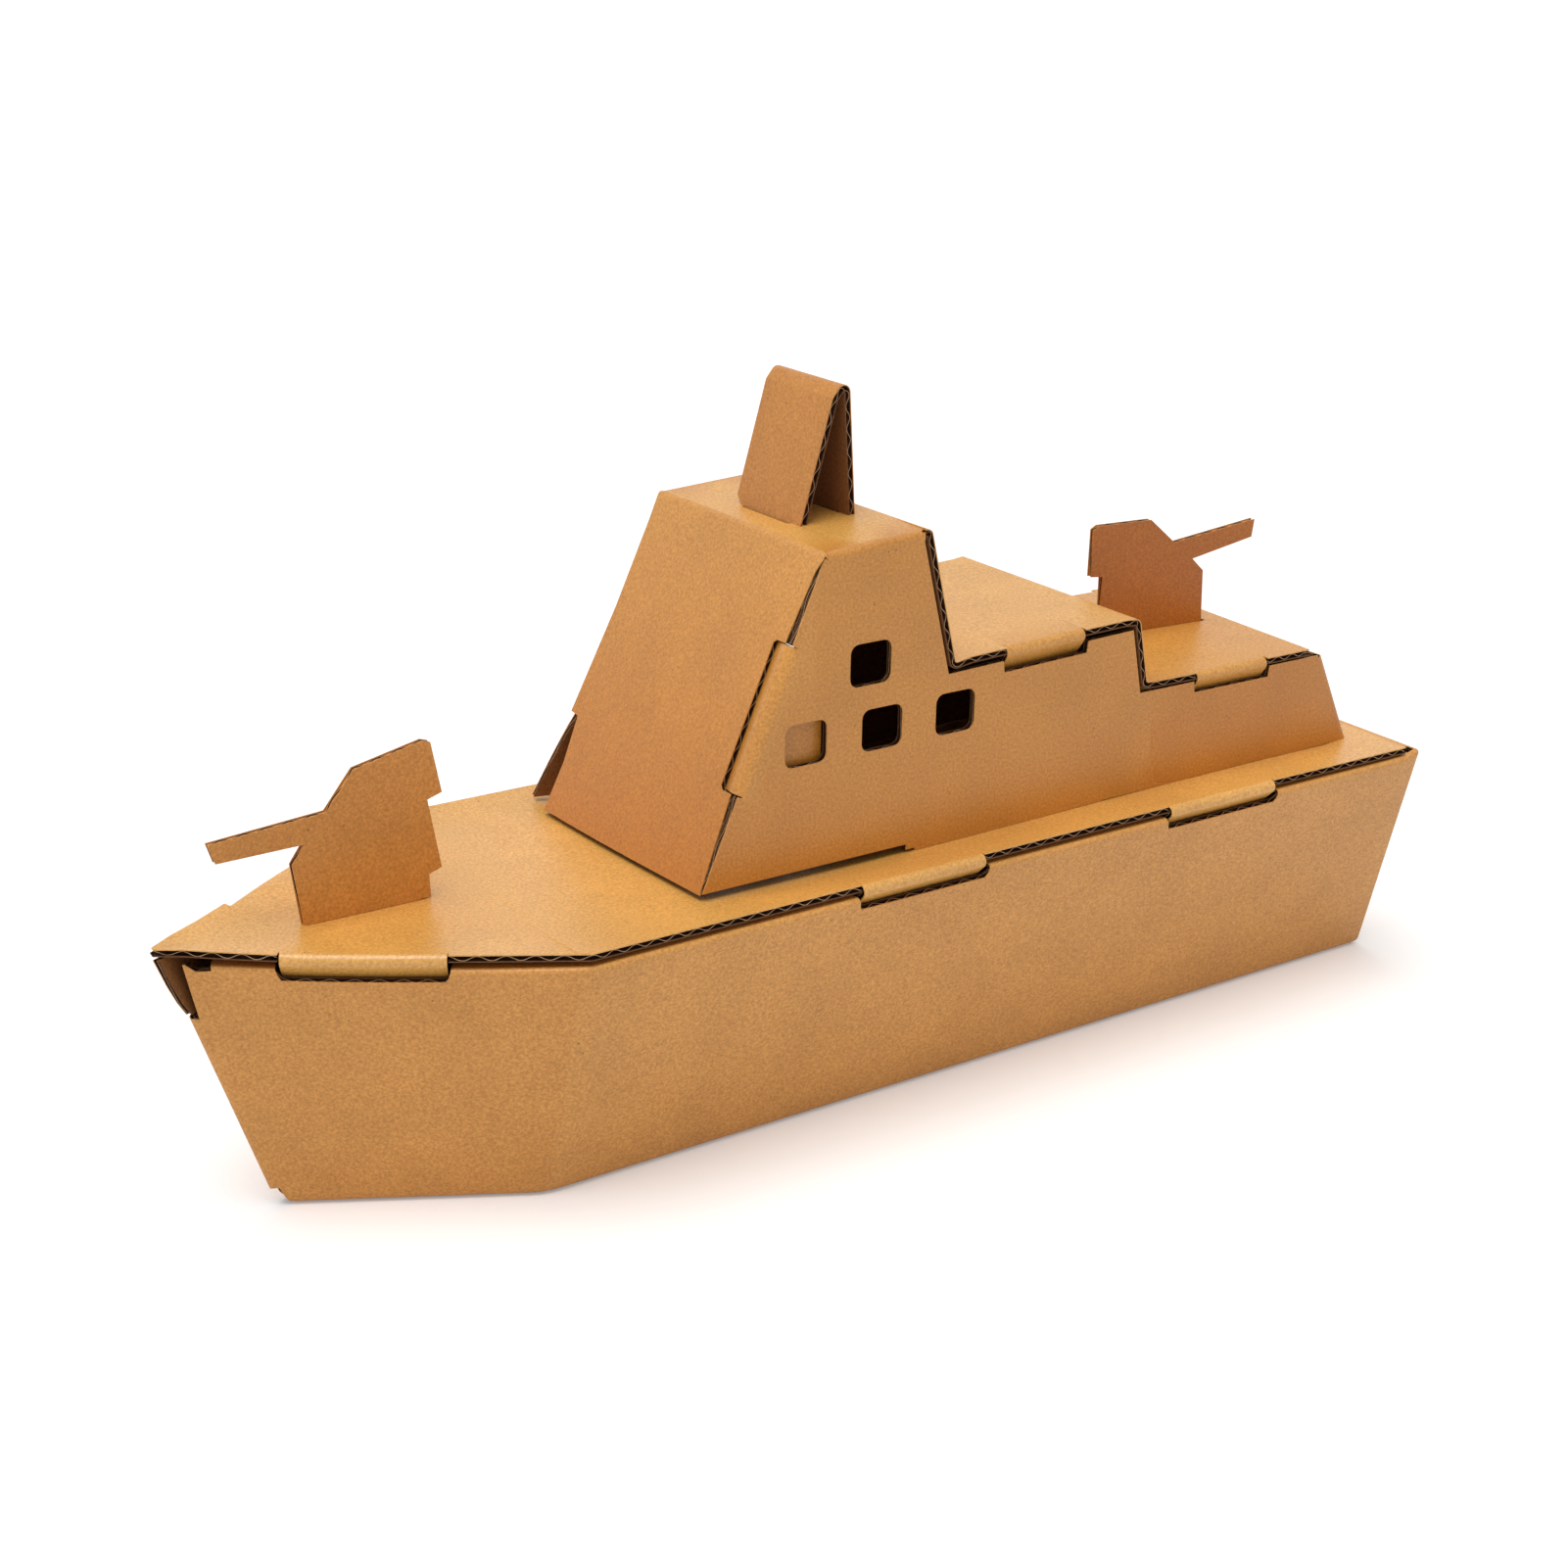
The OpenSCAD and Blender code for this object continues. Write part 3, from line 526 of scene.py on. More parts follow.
def hullSheet():
    total, lip = marks[5], -roll["r"] * roll["turn"] - roll["flange"]
    drop = (hullTop - deck["top"] + deck["notchDrop"]) * hull["slant"] + roll["lift"] - hull["wallStart"]
    past = 90  # beyond the last row of the sheet
    holes = []

    def cut(pts, mirror):
        holes.append([(total - g, v) for g, v in pts] if mirror else list(pts))

    ease = [(deck["bowTab"], deck["bowEase"])] + [(girth[0] + d, deck["sideEase"]) for d in deck["sideTabs"]]
    for c, e in ease:
        half = deck["tabLen"] / 2 + deck["notchEnd"]
        fore, aft = c - half, c + half + e
        for mirror in (False, True):  # a slanted cut at the fore end of each tab, a steep one aft
            cut([(fore, drop), (aft, drop), (aft + 0.8, drop - 1.0), (aft + 1.3, -1), (aft + 1.5, lip - 1),
                 (fore - 1.4, lip - 1), (fore - 0.9, -1.2), (fore - 0.5, drop * 0.35)], mirror)
    slit = (hull["slit"] - hull["wallStart"]) * wallRows / hull["wallLen"]
    relief, stem = wallRows - 3.0, hull["stemBlend"]
    for mirror in (False, True):
        for g in marks[2:4]:  # the turned edge is nicked at the stern corners
            cut([(g - 7, lip - 1), (g + 7, lip - 1), (g + 4, -2.4), (g - 4, -2.4)], mirror)
        cut([(-1, relief), (5.4, relief), (11, past), (-1, past)], mirror)  # the wall is cut away at the stem's foot
    cut(box2(total - stem, slit - hull["slitWide"], total + 3, slit), False)
    lines = [((g, lip - 1), (g, past)) for g in ranged(0, total, 9)[1:-1]]
    for c in range(6):
        w = cornerBlend[c % 5]
        lines += [((g, lip - 1), (g, past)) for g in ranged(marks[c] - w, marks[c] + w, w / 4) if 0 < g < total]
    foldStep = foldRows / board["foldSteps"]
    rows = ranged(0, wallRows, 7) + ranged(wallRows, wallRows + foldRows, foldStep)[1:-1] + [2.0]
    rows += [-roll["r"] * f for f in ranged(0, roll["turn"], 0.3)[1:]]
    lines += [((-2, v), (total + 2, v)) for v in rows]

    def roundTip(g, v):
        return hullFold(g, v, hullEdge, False)

    def flatTip(g, v):
        return hullFold(g, v, lambda line, x: straightEdge(line, 4, x), False)

    def crushed(v):
        return lerp(roll["crush"], board["thick"], clamp01(v / 2))

    meet = hull["meet"]
    portTip = [(stem, slit), (6.0, -1.3), (6.6, -1.3), (8.6, 0.5), (10.4, 0.3), (meet, 0), (meet, slit)]
    starTip = [(total - meet, -1.4), (total + 0.9, -2.4), (total + 0.5, slit * 0.35), (total - 0.3, slit * 0.7),
               (total - 1.6, slit - 0.2), (total - meet, slit)]
    body = [(0, slit), (meet, slit), (meet, lip), (total - meet, lip), (total - meet, slit), (total, slit),
            (total, wallRows + foldRows), (0, wallRows + foldRows)]

    # painted shade on the bow panels, ahead of the shoulder
    def bowPaintedShade(p):
        return hull["bowPaintedShade"] if p.x > shoulderX + 2 else 0.0

    def region(shape, fold, **more):
        return dict(more, cut=shape, tone=bowPaintedShade, place=lambda g, v: fold(g, v)[0], facing=lambda g, v: fold(g, v)[1])

    regions = [region(portTip, roundTip), region(starTip, flatTip), region(body, hullFold, thick=crushed)]
    spots, tris, flip, recessed = foldSheet(regions, holes, lines, flip=True, weld=True)
    low = [e for e in rimOf(tris) if all(abs(spots[k]["at"].z) < 1e-3 for k in e)]  # the bottom fills this loop
    nextOf = {b: a for a, b in low}
    starts = [a for a in nextOf if a not in nextOf.values()]
    loop = [starts[0] if starts else next(iter(nextOf))]
    while nextOf.get(loop[-1]) is not None and nextOf[loop[-1]] != loop[0]:
        loop.append(nextOf[loop[-1]])
    poly = [Vector((spots[k]["at"].x, spots[k]["at"].y)) for k in loop]
    cells = delaunay_2d_cdt(poly, [(i, (i + 1) % len(poly)) for i in range(len(poly))], [], 0, 1e-6)
    back = [o[0] if o else None for o in cells[3]]
    for face in cells[2]:
        mid = sum((cells[0][i] for i in face), Vector((0, 0))) / 3
        if within(mid, poly) and None not in [back[i] for i in face]:
            tris.append(tuple(loop[back[i]] for i in reversed(face)))
    return spots, tris, flip, recessed


makePiece("hull", "hull_box", hullSheet(), hullKraft, shadeKraft)


def tabPlace(root, way, turn):  # bends a tab of the deck down round its root
    r, along = board["tabFold"], Vector((way.y, -way.x, 0))

    def place(x, y):
        rel = Vector((x, y, 0)) - root
        u, v = rel.dot(along), rel.dot(way)
        if v <= 0:
            return deckPlace(x, y)
        a = min(v / r, turn)
        foot = root + along * u
        p = deckPlace(foot.x, foot.y) + way * r * sin(a) - up * r * (1 - cos(a))
        if v > r * turn:
            p += (way * cos(turn) - up * sin(turn)) * (v - r * turn)
        return p
    return place


def deckPlace(x, y):
    low, high = deck["scoreSpan"]
    score = deck["scoreDeep"] * exp(-((x - deck["score"]) / deck["scoreWide"]) ** 2) if low < y < high else 0
    wide = max(1, min(deck["half"], (tipX - x) * deck["half"] / deck["bow"]))
    rim = clamp01(abs(y) / wide * 4 - 3)  # the outer quarter of the half width
    sag = deck["rimRise"] * rim - deck["sag"] * (1 - rim) * exp(-((x - deck["sagAt"]) / deck["sagRun"]) ** 2)
    sag -= deck["aftDrop"] * clamp01((-x - deck["aftFrom"]) / deck["aftRun"])
    return Vector((x, y, deck["top"] + liftAt(x, y) + sag - score))


def deckSheet():
    regions, holes, bends = [], [], []
    half = deck["tabLen"] / 2
    bowWay = (topLine[1] - topLine[0]).normalized()
    bowNormal = (topLine[1] - footLine[0]).cross(topLine[0] - footLine[0]).normalized()
    sideNormal = Vector((0, hullTop, hull["keelHalf"] - hullHalf)).normalized()
    spotsAlong = [(topLine[0] + bowWay * deck["bowTab"], bowNormal)]
    spotsAlong += [(Vector((shoulderX - d, hullHalf, hullTop)), sideNormal) for d in deck["sideTabs"]]
    r = board["tabFold"]
    for spot, normal in spotsAlong:
        turn = pi / 2 + asin(-normal.z) + radians(board["tabTurn"])
        for s in (1, -1):
            way = Vector((normal.x, normal.y * s, 0)).normalized()
            root = Vector((spot.x, spot.y * s, 0)) - way * r
            along = Vector((way.y, -way.x, 0))
            length = r * turn + board["tabLeg"]

            def corner(u, v, root=root, along=along, way=way):
                p = root + along * u + way * v
                return (p.x, p.y)

            regions.append({"cut": [corner(u, v) for u, v in box2(-half, 0, half, length)],
                            "place": tabPlace(root, way, turn)})
            bends += [(corner(-half, r * f), corner(half, r * f)) for f in ranged(0, turn, 0.25)]
            for e in (-1, 1):
                a, b = sorted((e * half, e * (half + board["relief"])))
                holes.append([corner(u, v) for u, v in box2(a, 0, b, board["reliefLen"])])
    side = deck["half"]
    outline = [(tipX + 0.5, -0.5), (tipX + 0.5, 0.5), (shoulderX, side), (deckAftX, side), (deckAftX, -side),
               (shoulderX, -side)]
    regions.append({"cut": outline, "place": deckPlace})
    inner, outer = house["half"] - board["thick"] - board["play"], house["half"] + board["play"]
    for s in (1, -1):
        for f in house["feet"]:
            y0, y1 = sorted((s * inner, s * outer))
            holes.append(box2(frontX - f[1], y0, frontX - f[0], y1))
    holes.append(box2(gunX - gun["foot"], -gun["slotHalf"], gunX + gun["foot"], gun["slotHalf"]))
    lines = [((x, -54), (x, 54)) for x in ranged(deckAftX + 4, tipX - 6, 8)]
    lines += [((-110, y), (118, y)) for y in (-52, -47, -42, 42, 47, 52)]
    lines += [((90, y), (tipX, y)) for y in range(-40, 50, 10)]
    lines += [((deck["score"] + d, 11.5), (deck["score"] + d, 52.5)) for d in creaseSteps]
    return foldSheet(regions, holes, lines + bends)


house = {"front": 132.5, "half": 40.0, "towerH": 86.8, "frontRun": 37.5, "towerRoof": 33.0, "aftRun": 9.85,
         "midH": 49.4, "midRoof": 67.8, "stepRun": 2.6, "lowH": 31.6, "lowRoof": 67.4, "pitch": 1.5, "fold": 2.0,
         "settle": ((0, 0), (0, 0.5), (-1.7, 1.5), (-1.6, 1.5), (-0.4, 1.5), (-1.9, 1.5), (0, -0.8)),
         "starEdge": ((0.7, -37), (15, -36.8), (28.2, -38.7), (28.6, -42.6), (60, -41.3)),
         "portEdge": ((70, 37.0), (31, 37.0), (11, 38.4), (0.7, 39.2)), "lie": (0.3, 0.1, 0.6, 0.25, 0.65),
         "frontTab": 45.8, "frontNotch": 7.9, "frontTuck": 3.4, "frontFold": 3.2, "frontTurn": 108.0, "frontLeg": 12,
         "roofTab": 28.0, "tabTurn": 35.0, "tabLeg": 7, "midTab": 32.0, "lowTab": 34.0, "tailOver": 6.2,
         "tailRun": 14.2, "lift": 1.1, "liftLen": 67.0, "ahead": 3.2, "aheadHigh": 60, "spring": 8.6, "springFore": 1.2,
         "springLen": 38, "springHigh": 30, "crease": ((-89.4, 30), (-95.1, 0)), "creaseRow": ((-89.4, 29), (-94.9, 1)),
         "creaseDeep": 0.2, "creaseWide": 0.5, "feet": ((70, 138), (172, 228)), "footDrop": 6.0, "winW": 13.4,
         "winH": 11.9, "winR": 2.6, "windows": ((32.8, 36.6), (57.6, 36.6), (82.4, 36.6), (53.3, 55.3)),
         "flapGap": 1.0, "flapFoot": 8.0, "flapReach": 3.0, "flapShort": -0.2}
# painted shade on the deckhouse: the front (more towards its foot), the low roof and roof tabs, the front tabs, the
# sides (more aft of aftFrom) and the window flaps
paintedShades = {"front": 0.55, "roof": 0.3, "frontTab": 0.5, "side": 0.64, "sideAft": 0.84, "aftFrom": -92, "flap": 0.8}
# the aft gun gets painted shade, for the shadow of the tower
gun = {"forePos": 56.5, "aft": (-128.6, 105.4), "tilt": 10.6, "yaw": 3.5, "foot": 15.0, "slotHalf": 1.15,
       "roofSlot": (-23.2, 18.8), "aftPaintedShade": 0.85,
       "outline": ((-15, -6), (15, -6), (15, 0), (17.5, 0), (19.9, 16.8), (16.3, 21.8), (39.8, 21.6), (41.5, 26.9),
                   (10, 29.1), (2, 39), (-17.2, 43), (-19.4, 42.3), (-22.2, 28.2), (-18, 26.9), (-21.5, 7.6),
                   (-17.8, 6.3), (-18.1, 0), (-15, 0))}
frontX, gunX = tipX - house["front"], tipX - gun["forePos"]
rise = tan(radians(house["pitch"]))
makePiece("deck", "deck_sheet", deckSheet(), deckKraft, shadeKraft)

band = [Vector((frontX, 0)), Vector((frontX - house["frontRun"], house["towerH"]))]
for run, height in ((house["towerRoof"], None), (house["aftRun"], house["midH"]), (house["midRoof"], None),
                    (house["stepRun"], house["lowH"]), (house["lowRoof"], None)):
    last = band[-1]
    band.append(Vector((last.x - run, last.y + run * rise if height is None else height)))
band = [p + Vector(d) for p, d in zip(band, house["settle"])]
roofWay = (band[2] - band[1]).normalized()
roofOut = Vector((roofWay.y, -roofWay.x))
frontWay = (band[0] - band[1]).normalized()
frontOut = Vector((-frontWay.y, frontWay.x))


def insetBand(gap):
    out = []
    for i, p in enumerate(band):
        a = (band[max(i, 1)] - band[max(i - 1, 0)]).normalized()
        b = (band[min(i + 1, 6)] - band[min(i, 5)]).normalized()
        na, nb = Vector((a.y, -a.x)), Vector((b.y, -b.x))
        out.append(p - (na + nb) * gap / (1 + na.dot(nb)))
    return out


def behindFront(height, gap):
    run = band[1] - band[0]
    return Vector((frontX + (height * run.x - gap * run.length) / run.y, height))


def sideCrease(p):  # distance from the faint crease below the step
    a, b = (Vector(end) for end in house["crease"])
    way = (b - a).normalized()
    return (p - a).x * way.y - (p - a).y * way.x if 1 < p.y < 29 else 9


def roundedBox(cx, cy, w, h, r, steps=5):
    pts = []
    for qx, qy, start in ((1, 1, 0), (-1, 1, 90), (-1, -1, 180), (1, -1, 270)):
        for i in range(steps + 1):
            a = radians(start + 90 * i / steps)
            pts.append((cx + qx * (w / 2 - r) + r * cos(a), cy + qy * (h / 2 - r) + r * sin(a)))
    return pts


def houseSheet():
    r, fold, tuck, relief = house["fold"], house["fold"] * pi / 2, house["frontTuck"], board["relief"]
    k, turned = board["tabFold"], radians(90 + house["tabTurn"])
    wrap, bent = house["frontFold"], radians(house["frontTurn"])
    path = bentPath(band, [0, r, r, board["foldIn"], r, board["foldIn"], 0])
    half, top = house["half"], deck["top"]
    t0 = half - r

    def crooked(x, t):  # the roofs lie a little out of level
        mid = clamp01(min(band[3].x - x, x - band[4].x) / 6)
        low = clamp01((band[5].x - x) / 6)
        high = clamp01((band[1].x - x) / house["towerRoof"]) * (1 if x > band[2].x - 1 else 0)
        tower, midUp, midTilt, lowUp, lowTilt = house["lie"]
        return high * tower * t / half + mid * (midUp + midTilt * t / half) + low * (lowUp - lowTilt * t / half)

    def stripPlace(s, t):  # the starboard foot of the front stands forward
        p = path["at"](s)
        ahead = house["ahead"] * sin(clamp01((half - t) / (2 * half)) * pi / 2)
        return Vector((p.x + ahead * max(0, 1 - s / house["aheadHigh"]), t, top + p.y + crooked(p.x, t)))

    regions, holes = [], []

    def frontPaintedShade(p):  # painted shade: the front is darker towards its foot, and the low roof a little darker
        if p.x > band[1].x - 1:
            return 1 - paintedShades["front"] * (p.z - top) / house["towerH"]
        return paintedShades["roof"] if p.x < band[5].x - 1 else 0.0

    roofS, far, steps = path["along"](1, 0), path["len"], board["foldSteps"]
    strip = {"cut": [*house["starEdge"], (roofS - 8, -half), (far, -half), (far, half), (roofS - 1, half),
                     (roofS - 5, 38.6), *house["portEdge"]], "place": stripPlace, "tone": frontPaintedShade,
             # kind 1: these closed edges take the dark cut-edge material, painted shade
             "plain": lambda p: 1 if p.x > band[1].x + 2 and abs(p.y) > 35 else None}
    lines = [((s, -60), (s, 60)) for s in path["bends"]]
    lines += [((s, -half), (s, half)) for s in ranged(6, far - 6, 14)]
    lines += [((0, t), (far, t)) for t in (-24, -8, 8, 24)]
    for f in range(steps + 1):
        lines += [((roofS, t), (roofS + 40, t)) for t in (t0 + fold * f / steps, -t0 - fold * f / steps)]

    def sideFlat(x, z):  # place on a side panel, as flat length along and out from the roof
        rel = Vector((x, z)) - band[1]
        return roofS + rel.dot(roofWay), t0 + fold - r - rel.dot(roofOut)

    def sidePoint(s, t):
        return band[1] + roofWay * (s - roofS) - roofOut * (t - t0 - fold + r)

    def frontFlat(q, w):  # place on a front tab, down the slope and out from its bend
        return sideFlat(*(band[1] + frontWay * q + frontOut * (w - tuck)))

    edge = insetBand(board["thick"] + board["lip"])
    tail = Vector((band[6].x - house["tailOver"], edge[6].y))
    tailFoot = Vector((tail.x - house["tailRun"], 0))
    tailWay = (tail - tailFoot).normalized()
    tailOut = Vector((-tailWay.y, tailWay.x))
    gaps = ((house["lift"], 0.25), (28, 0.4), (65, 0.5), (band[1].y - 2.2, 0.6))  # heights, and gaps to the front
    trim, liftX = Vector((r / tailWay.y, 0)), frontX - house["liftLen"]
    outline = [behindFront(z, gap) for z, gap in gaps]
    rest = [*edge[2:6], tail + trim, tailFoot + trim, Vector((liftX, -0.5)), Vector((liftX, house["lift"]))]
    aft = path["along"](1, (band[2] - band[1]).length) - r * 0.85
    fore = roofS + r * 0.72
    thin = 0.12  # a knife cut

    def tailFlat(q, w):
        return sideFlat(*(tailFoot + tailWay * q + tailOut * (w - r)))

    def springAt(p):  # the starboard panel springs out at its lower front corner
        near = max(0, 1 - (behindFront(p.y, 0).x - p.x) / house["springLen"]) ** 1.5
        return near * max(0, 1 - max(0, p.y) / house["springHigh"]) ** 0.6

    def tucked(root, way, out, back, r, angle, s):  # a flap that bends round an upright edge of a side panel
        def place(a, t):
            rel = sidePoint(a, abs(t)) - root
            q, w = rel.dot(way), rel.dot(out) + back
            turn, leg = min(max(w, 0) / r, angle), max(0, w - r * angle)
            p = root + way * q + out * (min(w, 0) - back + r * sin(turn) + leg * cos(angle))
            return Vector((p.x, s * (half - r * (1 - cos(turn)) - leg * sin(angle)), top + p.y))
        return place

    for s in (1, -1):
        def mirrored(pts, flat=None, s=s):
            return [(a, b * s) for a, b in (flat(*p) if flat else p for p in pts)]

        def sidePlace(a, t, s=s):
            b = abs(t) - t0
            turn = min(max(b, 0) / r, pi / 2)
            base = band[1] + roofWay * (a - roofS) - roofOut * (r * (1 - cos(turn)) + max(0, b - fold))
            y = t0 + min(b, 0) + r * sin(turn)
            y -= house["creaseDeep"] * exp(-(sideCrease(base) / house["creaseWide"]) ** 2)
            f = springAt(base) if s < 0 else 0
            return Vector((base.x + house["springFore"] * f, s * (y + house["spring"] * f), top + base.y))

        tabHalf, q, bend = deck["tabLen"] / 2, house["frontTab"], wrap * bent
        tab = box2(q - tabHalf, -1.2, q + tabHalf, bend + house["frontLeg"])
        regions.append({"cut": mirrored(tab, frontFlat), "tone": lambda p: paintedShades["frontTab"],
                        "place": tucked(band[1], frontWay, frontOut, tuck, wrap, bent, s)})
        lines += [mirrored(((q - tabHalf, w), (q + tabHalf, w)), frontFlat) for w in ranged(0, bend, bend / 8)]
        for e in (-1, 1):
            gap = box2(q + e * tabHalf, 1.6, q + e * (tabHalf + relief), board["reliefLen"])
            holes.append(mirrored(gap, frontFlat))
        tall, wide = (tail - tailFoot).length, fold + half - r - 0.8
        flap = ((0.4, 0), (0.4, wide), (tall - 1, wide), (tall - 0.6, fold), (tall, 0))
        regions.append({"cut": mirrored(flap, tailFlat), "tone": lambda p: paintedShades["flap"],
                        "place": tucked(tailFoot, tailWay, tailOut, r, r, pi / 2, s)})
        lines += [mirrored(((0.4, w), (tall, w)), tailFlat) for w in ranged(0, fold, fold / steps)]
        side = [(fore, t0), *[sideFlat(*p) for p in outline[::-1] + rest[::-1]], (aft, t0)]
        regions.append({"cut": mirrored(side), "place": sidePlace,
                        "tone": lambda p: paintedShades["sideAft" if p.x < paintedShades["aftFrom"] else "side"],
                        # kind 1: this closed edge takes the dark cut-edge material, painted shade
                        "plain": lambda p: 1 if p.x > behindFront(p.z - top, 1.5).x and p.z > top + 0.5 else None})
        for f in house["feet"]:
            foot = box2(frontX - f[0], 0.4, frontX - f[1], -house["footDrop"])
            regions.append({"cut": mirrored(foot, sideFlat), "place": sidePlace})
        for w in house["windows"]:
            loop = roundedBox(frontX - w[0], w[1], house["winW"], house["winH"], house["winR"])
            holes.append(mirrored(loop, sideFlat))
        for corner, pos in ((3, house["midTab"]), (5, house["lowTab"])):
            wide = house["roofTab"] / 2
            s0, t1 = path["along"](corner, pos), half - k
            way = (band[corner + 1] - band[corner]).normalized()
            out = Vector((way.y, -way.x))

            def roofTabPlace(a, t, s=s, out=out):
                b = abs(t) - (half - k)
                turn, leg = min(max(b, 0) / k, turned), max(0, b - k * turned)
                p = path["at"](a) - out * (k * (1 - cos(turn)) + leg * sin(turned))
                y = half - k + min(b, 0) + k * sin(turn) + leg * cos(turned)
                return Vector((p.x, s * y, top + p.y + crooked(p.x, s * half)))

            bend = k * turned
            regions.append({"cut": mirrored(box2(s0 - wide, t1, s0 + wide, t1 + bend + house["tabLeg"])),
                            "place": roofTabPlace, "tone": lambda p: paintedShades["roof"]})
            lines += [mirrored([(s0 - wide, t1 + b), (s0 + wide, t1 + b)]) for b in ranged(0, bend, bend / 8)]
            for e in (-1, 1):
                a, b = sorted((s0 + e * wide, s0 + e * (wide + relief)))
                holes.append(mirrored(box2(a, t1, b, half + 0.5)))
            notch = wide + deck["notchEnd"]
            low = [band[corner] + way * (pos + e * (notch + 0.6)) - out * deck["notchDrop"] for e in (-1, 1)]
            high = [band[corner] + way * (pos + e * (notch + 1.1)) - out * 2.4 for e in (1, -1)]
            holes.append(mirrored(low + high, sideFlat))
        if s > 0:  # only the port tab is let into the front
            mid = path["along"](0, (band[1] - band[0]).length - house["frontTab"])
            wide, low = tabHalf + deck["notchEnd"], half - house["frontNotch"]
            a, b = mid - wide, mid + wide
            holes.append([(a + 1, low), (b - 1, low), (b, low + 1), (b, half + 0.4), (a, half + 0.4), (a, low + 1)])
        holes += [mirrored(box2(a, t0, b, half + 0.5)) for a, b in ((fore - thin, fore), (aft, aft + thin))]
        lines += [mirrored(((x, -8), (x, 90)), sideFlat) for x in ranged(-170, 60, 16)]
        lines += [mirrored(((-176, z), (64, z)), sideFlat) for z in (6, 12, 18, 22, 26, 29)]
        lines += [mirrored([(x + d, z) for x, z in house["creaseRow"]], sideFlat) for d in creaseSteps]
    regions.append(strip)
    for x0, x1 in mastSlots():
        a, b = [path["along"](1, (x - band[1].x) / roofWay.x) for x in (x1, x0)]
        wide = mast["footHalf"] + board["play"]
        holes.append(box2(a, -wide, b, wide))
    gunS = path["along"](5, band[5].x - gun["aft"][0])
    c, e = cos(radians(gun["yaw"])), sin(radians(gun["yaw"]))
    slot = box2(gun["roofSlot"][0], -gun["slotHalf"], gun["roofSlot"][1], gun["slotHalf"])
    holes.append([(gunS + a * c - b * e, a * e + b * c) for a, b in slot])
    return foldSheet(regions, holes, lines, flip=True)


def flapSheet(s):
    first, foot = house["windows"][0], house["flapFoot"]
    x, z = frontX - first[0], first[1]
    w, h, reach = house["winW"] / 2, house["winH"] / 2, house["flapReach"]
    aft, high, neck = x - w + house["flapShort"], z + h + reach, z - h - reach
    inset = board["thick"] + 0.1
    cut = [behindFront(foot, inset), behindFront(neck, inset), (x + w, neck), (x + w, high), (aft, high), (aft, foot)]
    y = house["half"] - board["thick"] - house["flapGap"]

    def place(a, b):
        return Vector((a, s * y, deck["top"] + b))
    return foldSheet([{"cut": cut, "place": place, "tone": lambda p: paintedShades["flap"]}], [], [], flip=s > 0)


mast = {"pos": 46.8, "width": 31.0, "height": 40.1, "top": 5.5, "bend": 6.7, "front": 9.65, "back": 2.9,
        "footHalf": 11.0, "ridge": 2.2, "drop": 6.0, "frontSlot": (-2.9, 0.9), "backSlot": (-0.5, 2.5)}
mastX = frontX - mast["pos"]
mastZ = deck["top"] + band[1].y + (mastX - band[1].x) * roofWay.y / roofWay.x
mastFront = mast["front"] / (mast["height"] - mast["bend"])
mastBack = mast["back"] / mast["height"]


def mastSlots():
    backX = mastX - mast["front"] - mast["top"] - mast["back"]
    return [(x + a, x + b) for x, (a, b) in ((mastX, mast["frontSlot"]), (backX, mast["backSlot"]))]


def mastSheet():
    tall, drop = mast["height"], mast["drop"]
    points = [(drop * mastFront, -drop), (-mast["front"], tall - mast["bend"]), (-mast["front"] - mast["top"], tall),
              (-mast["front"] - mast["top"] - mast["back"] - drop * mastBack, -drop)]
    path = bentPath(points, [0, board["fold"], mast["ridge"], 0])
    half, foot = mast["width"] / 2, mast["footHalf"]
    frontFoot = drop * hypot(1, mastFront)
    backFoot = path["len"] - drop * hypot(1, mastBack)

    def place(s, t):
        p = path["at"](s)
        return Vector((mastX + p.x, t, mastZ + p.y))
    holes = []
    for s in (1, -1):
        y0, y1 = sorted((s * foot, s * (half + 1)))
        holes += [box2(-1, y0, frontFoot, y1), box2(backFoot, y0, path["len"] + 1, y1)]
    holes.append([(frontFoot - 0.1, -foot - 1.5), (frontFoot + 2.4, -half - 0.1), (frontFoot - 0.1, -half - 0.1)])
    lines = [((s, -20), (s, 20)) for s in path["bends"]]
    lines += [((0, t), (path["len"], t)) for t in (-5, 5)]
    return foldSheet([{"cut": box2(0, -half, path["len"], half), "place": place}], holes, lines, flip=True)


makePiece("house", "deckhouse", houseSheet(), houseKraft, shadeKraft)
for label, s in (("Port", 1), ("Starboard", -1)):
    flap = boardMesh("houseFlap" + label, flapSheet(s), (houseKraft, cutEdgeShade, coreShade, shadeKraft))[0]
    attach(flap, "root")
makePiece("mast", "mast", mastSheet(), mastKraft, shadeKraft)


# the last argument is how much shade is painted on the gun
def gunSheet(middle, way, tilt, yaw, tone):
    c, s = cos(radians(tilt)), sin(radians(tilt))
    along = Vector((way * cos(radians(yaw)), sin(radians(yaw)), 0))
    across = Vector((-along.y, along.x, 0))

    def place(a, b):
        x, z = a * c - b * s, a * s + b * c
        return middle + along * x - across * board["thick"] / 2 + up * z
    return foldSheet([{"cut": gun["outline"], "place": place, "tone": lambda p: tone, "plain": lambda p: 0}], [], [])


foreSheet = gunSheet(Vector((gunX, 0, deck["top"] + liftAt(gunX, 0))), 1, 0, 0, 0.0)
makePiece("foreGun", "fore_gun", foreSheet, gunKraft, gunKraft)
aftSheet = gunSheet(Vector((gun["aft"][0], 0, gun["aft"][1])), -1, gun["tilt"], gun["yaw"], gun["aftPaintedShade"])
makePiece("aftGun", "aft_gun", aftSheet, gunKraft, gunKraft)

# plain pale floor and soft studio light
studio = {"floor": 30.0, "floorDrop": 0.0004, "sky": 0.42, "key": 2.0, "keyFrom": (0.25, 0.10, 0.96),
          "keySoft": 45, "floorGlow": 0.2}


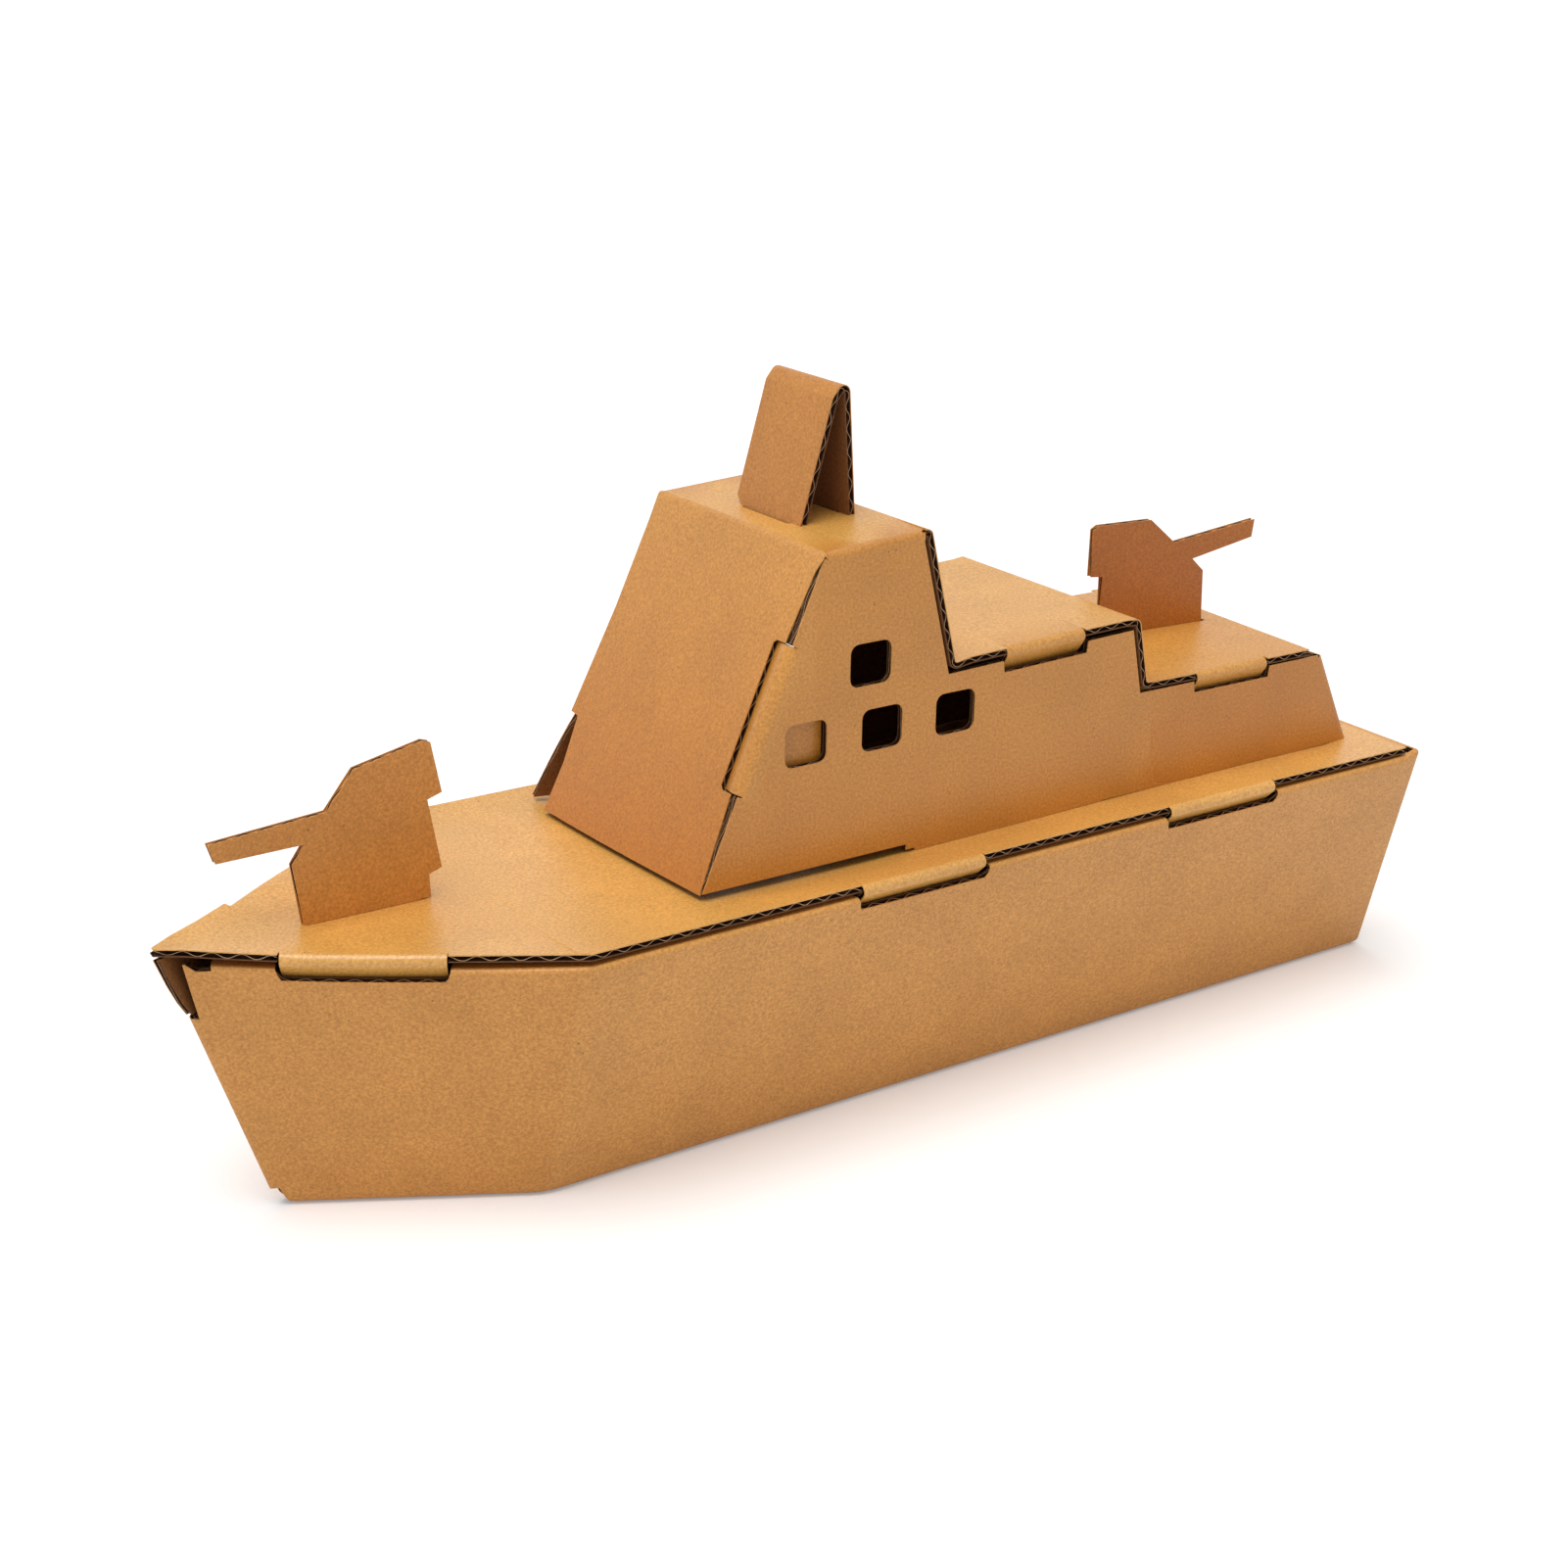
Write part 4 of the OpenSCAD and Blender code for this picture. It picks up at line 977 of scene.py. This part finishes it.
def makeFloor():
    half, low = studio["floor"], -studio["floorDrop"]
    mesh = bpy.data.meshes.new("floor")
    mesh.from_pydata([(x, y, low) for x, y in box2(-half, -half, half, half)], [], [(0, 1, 2, 3)])
    floor = newObject("floor", mesh)
    mat = bpy.data.materials.new("paleFloor")
    mat.use_nodes = True
    tree = mat.node_tree
    ray = addNode(tree, "ShaderNodeLightPath", {}, "Is Camera Ray")
    glow = addNode(tree, "ShaderNodeMath", {0: ray, 1: studio["floorGlow"]}, operation="MULTIPLY")
    feed(tree, tree.nodes["Principled BSDF"], {
        "Base Color": (0.93, 0.93, 0.93, 1), "Roughness": 0.9, "Specular IOR Level": 0.0,
        "Emission Color": (1, 1, 1, 1), "Emission Strength": glow})
    mesh.materials.append(mat)


def makeLight():
    world = bpy.data.worlds.new("studio")
    bpy.context.scene.world = world
    world.use_nodes = True
    tree = world.node_tree
    rays = tree.nodes.new("ShaderNodeLightPath").outputs
    both = {0: rays["Is Camera Ray"], 1: rays["Is Glossy Ray"]}
    seen = addNode(tree, "ShaderNodeMath", both, operation="MAXIMUM")
    level = addNode(tree, "ShaderNodeMapRange", {"Value": seen, "To Min": studio["sky"], "To Max": 1.0})
    feed(tree, tree.nodes["Background"], {"Color": (1, 1, 1, 1), "Strength": level})
    sun = bpy.data.lights.new("key", "SUN")
    sun.energy = studio["key"]
    sun.angle = radians(studio["keySoft"])
    lamp = newObject("key", sun)
    lamp.rotation_euler = Vector(studio["keyFrom"]).to_track_quat("Z", "Y").to_euler()


# camera at the photograph's place
view = {"turn": 34.85, "rise": 20.37, "roll": 0.94, "at": (0.39435, 0.5522, 0.335), "lens": 58.39,
        "sensor": 36, "near": 0.01}


def makeCamera():
    az, el, roll = (radians(view[k]) for k in ("turn", "rise", "roll"))
    back = Vector((sin(az) * cos(el), cos(az) * cos(el), sin(el)))
    right = Vector((-cos(az), sin(az), 0))
    top = back.cross(right)
    across = right * cos(roll) + top * sin(roll)
    upward = top * cos(roll) - right * sin(roll)
    data = bpy.data.cameras.new("camera")
    data.lens = view["lens"]
    data.sensor_width = view["sensor"]
    data.clip_start = view["near"]
    camera = newObject("camera", data)
    camera.matrix_world = Matrix((*zip(across, upward, back, view["at"]), (0, 0, 0, 1)))
    bpy.context.scene.camera = camera


makeFloor()
makeLight()
makeCamera()
bpy.context.scene.view_settings.view_transform = "Standard"
print("scene ready")
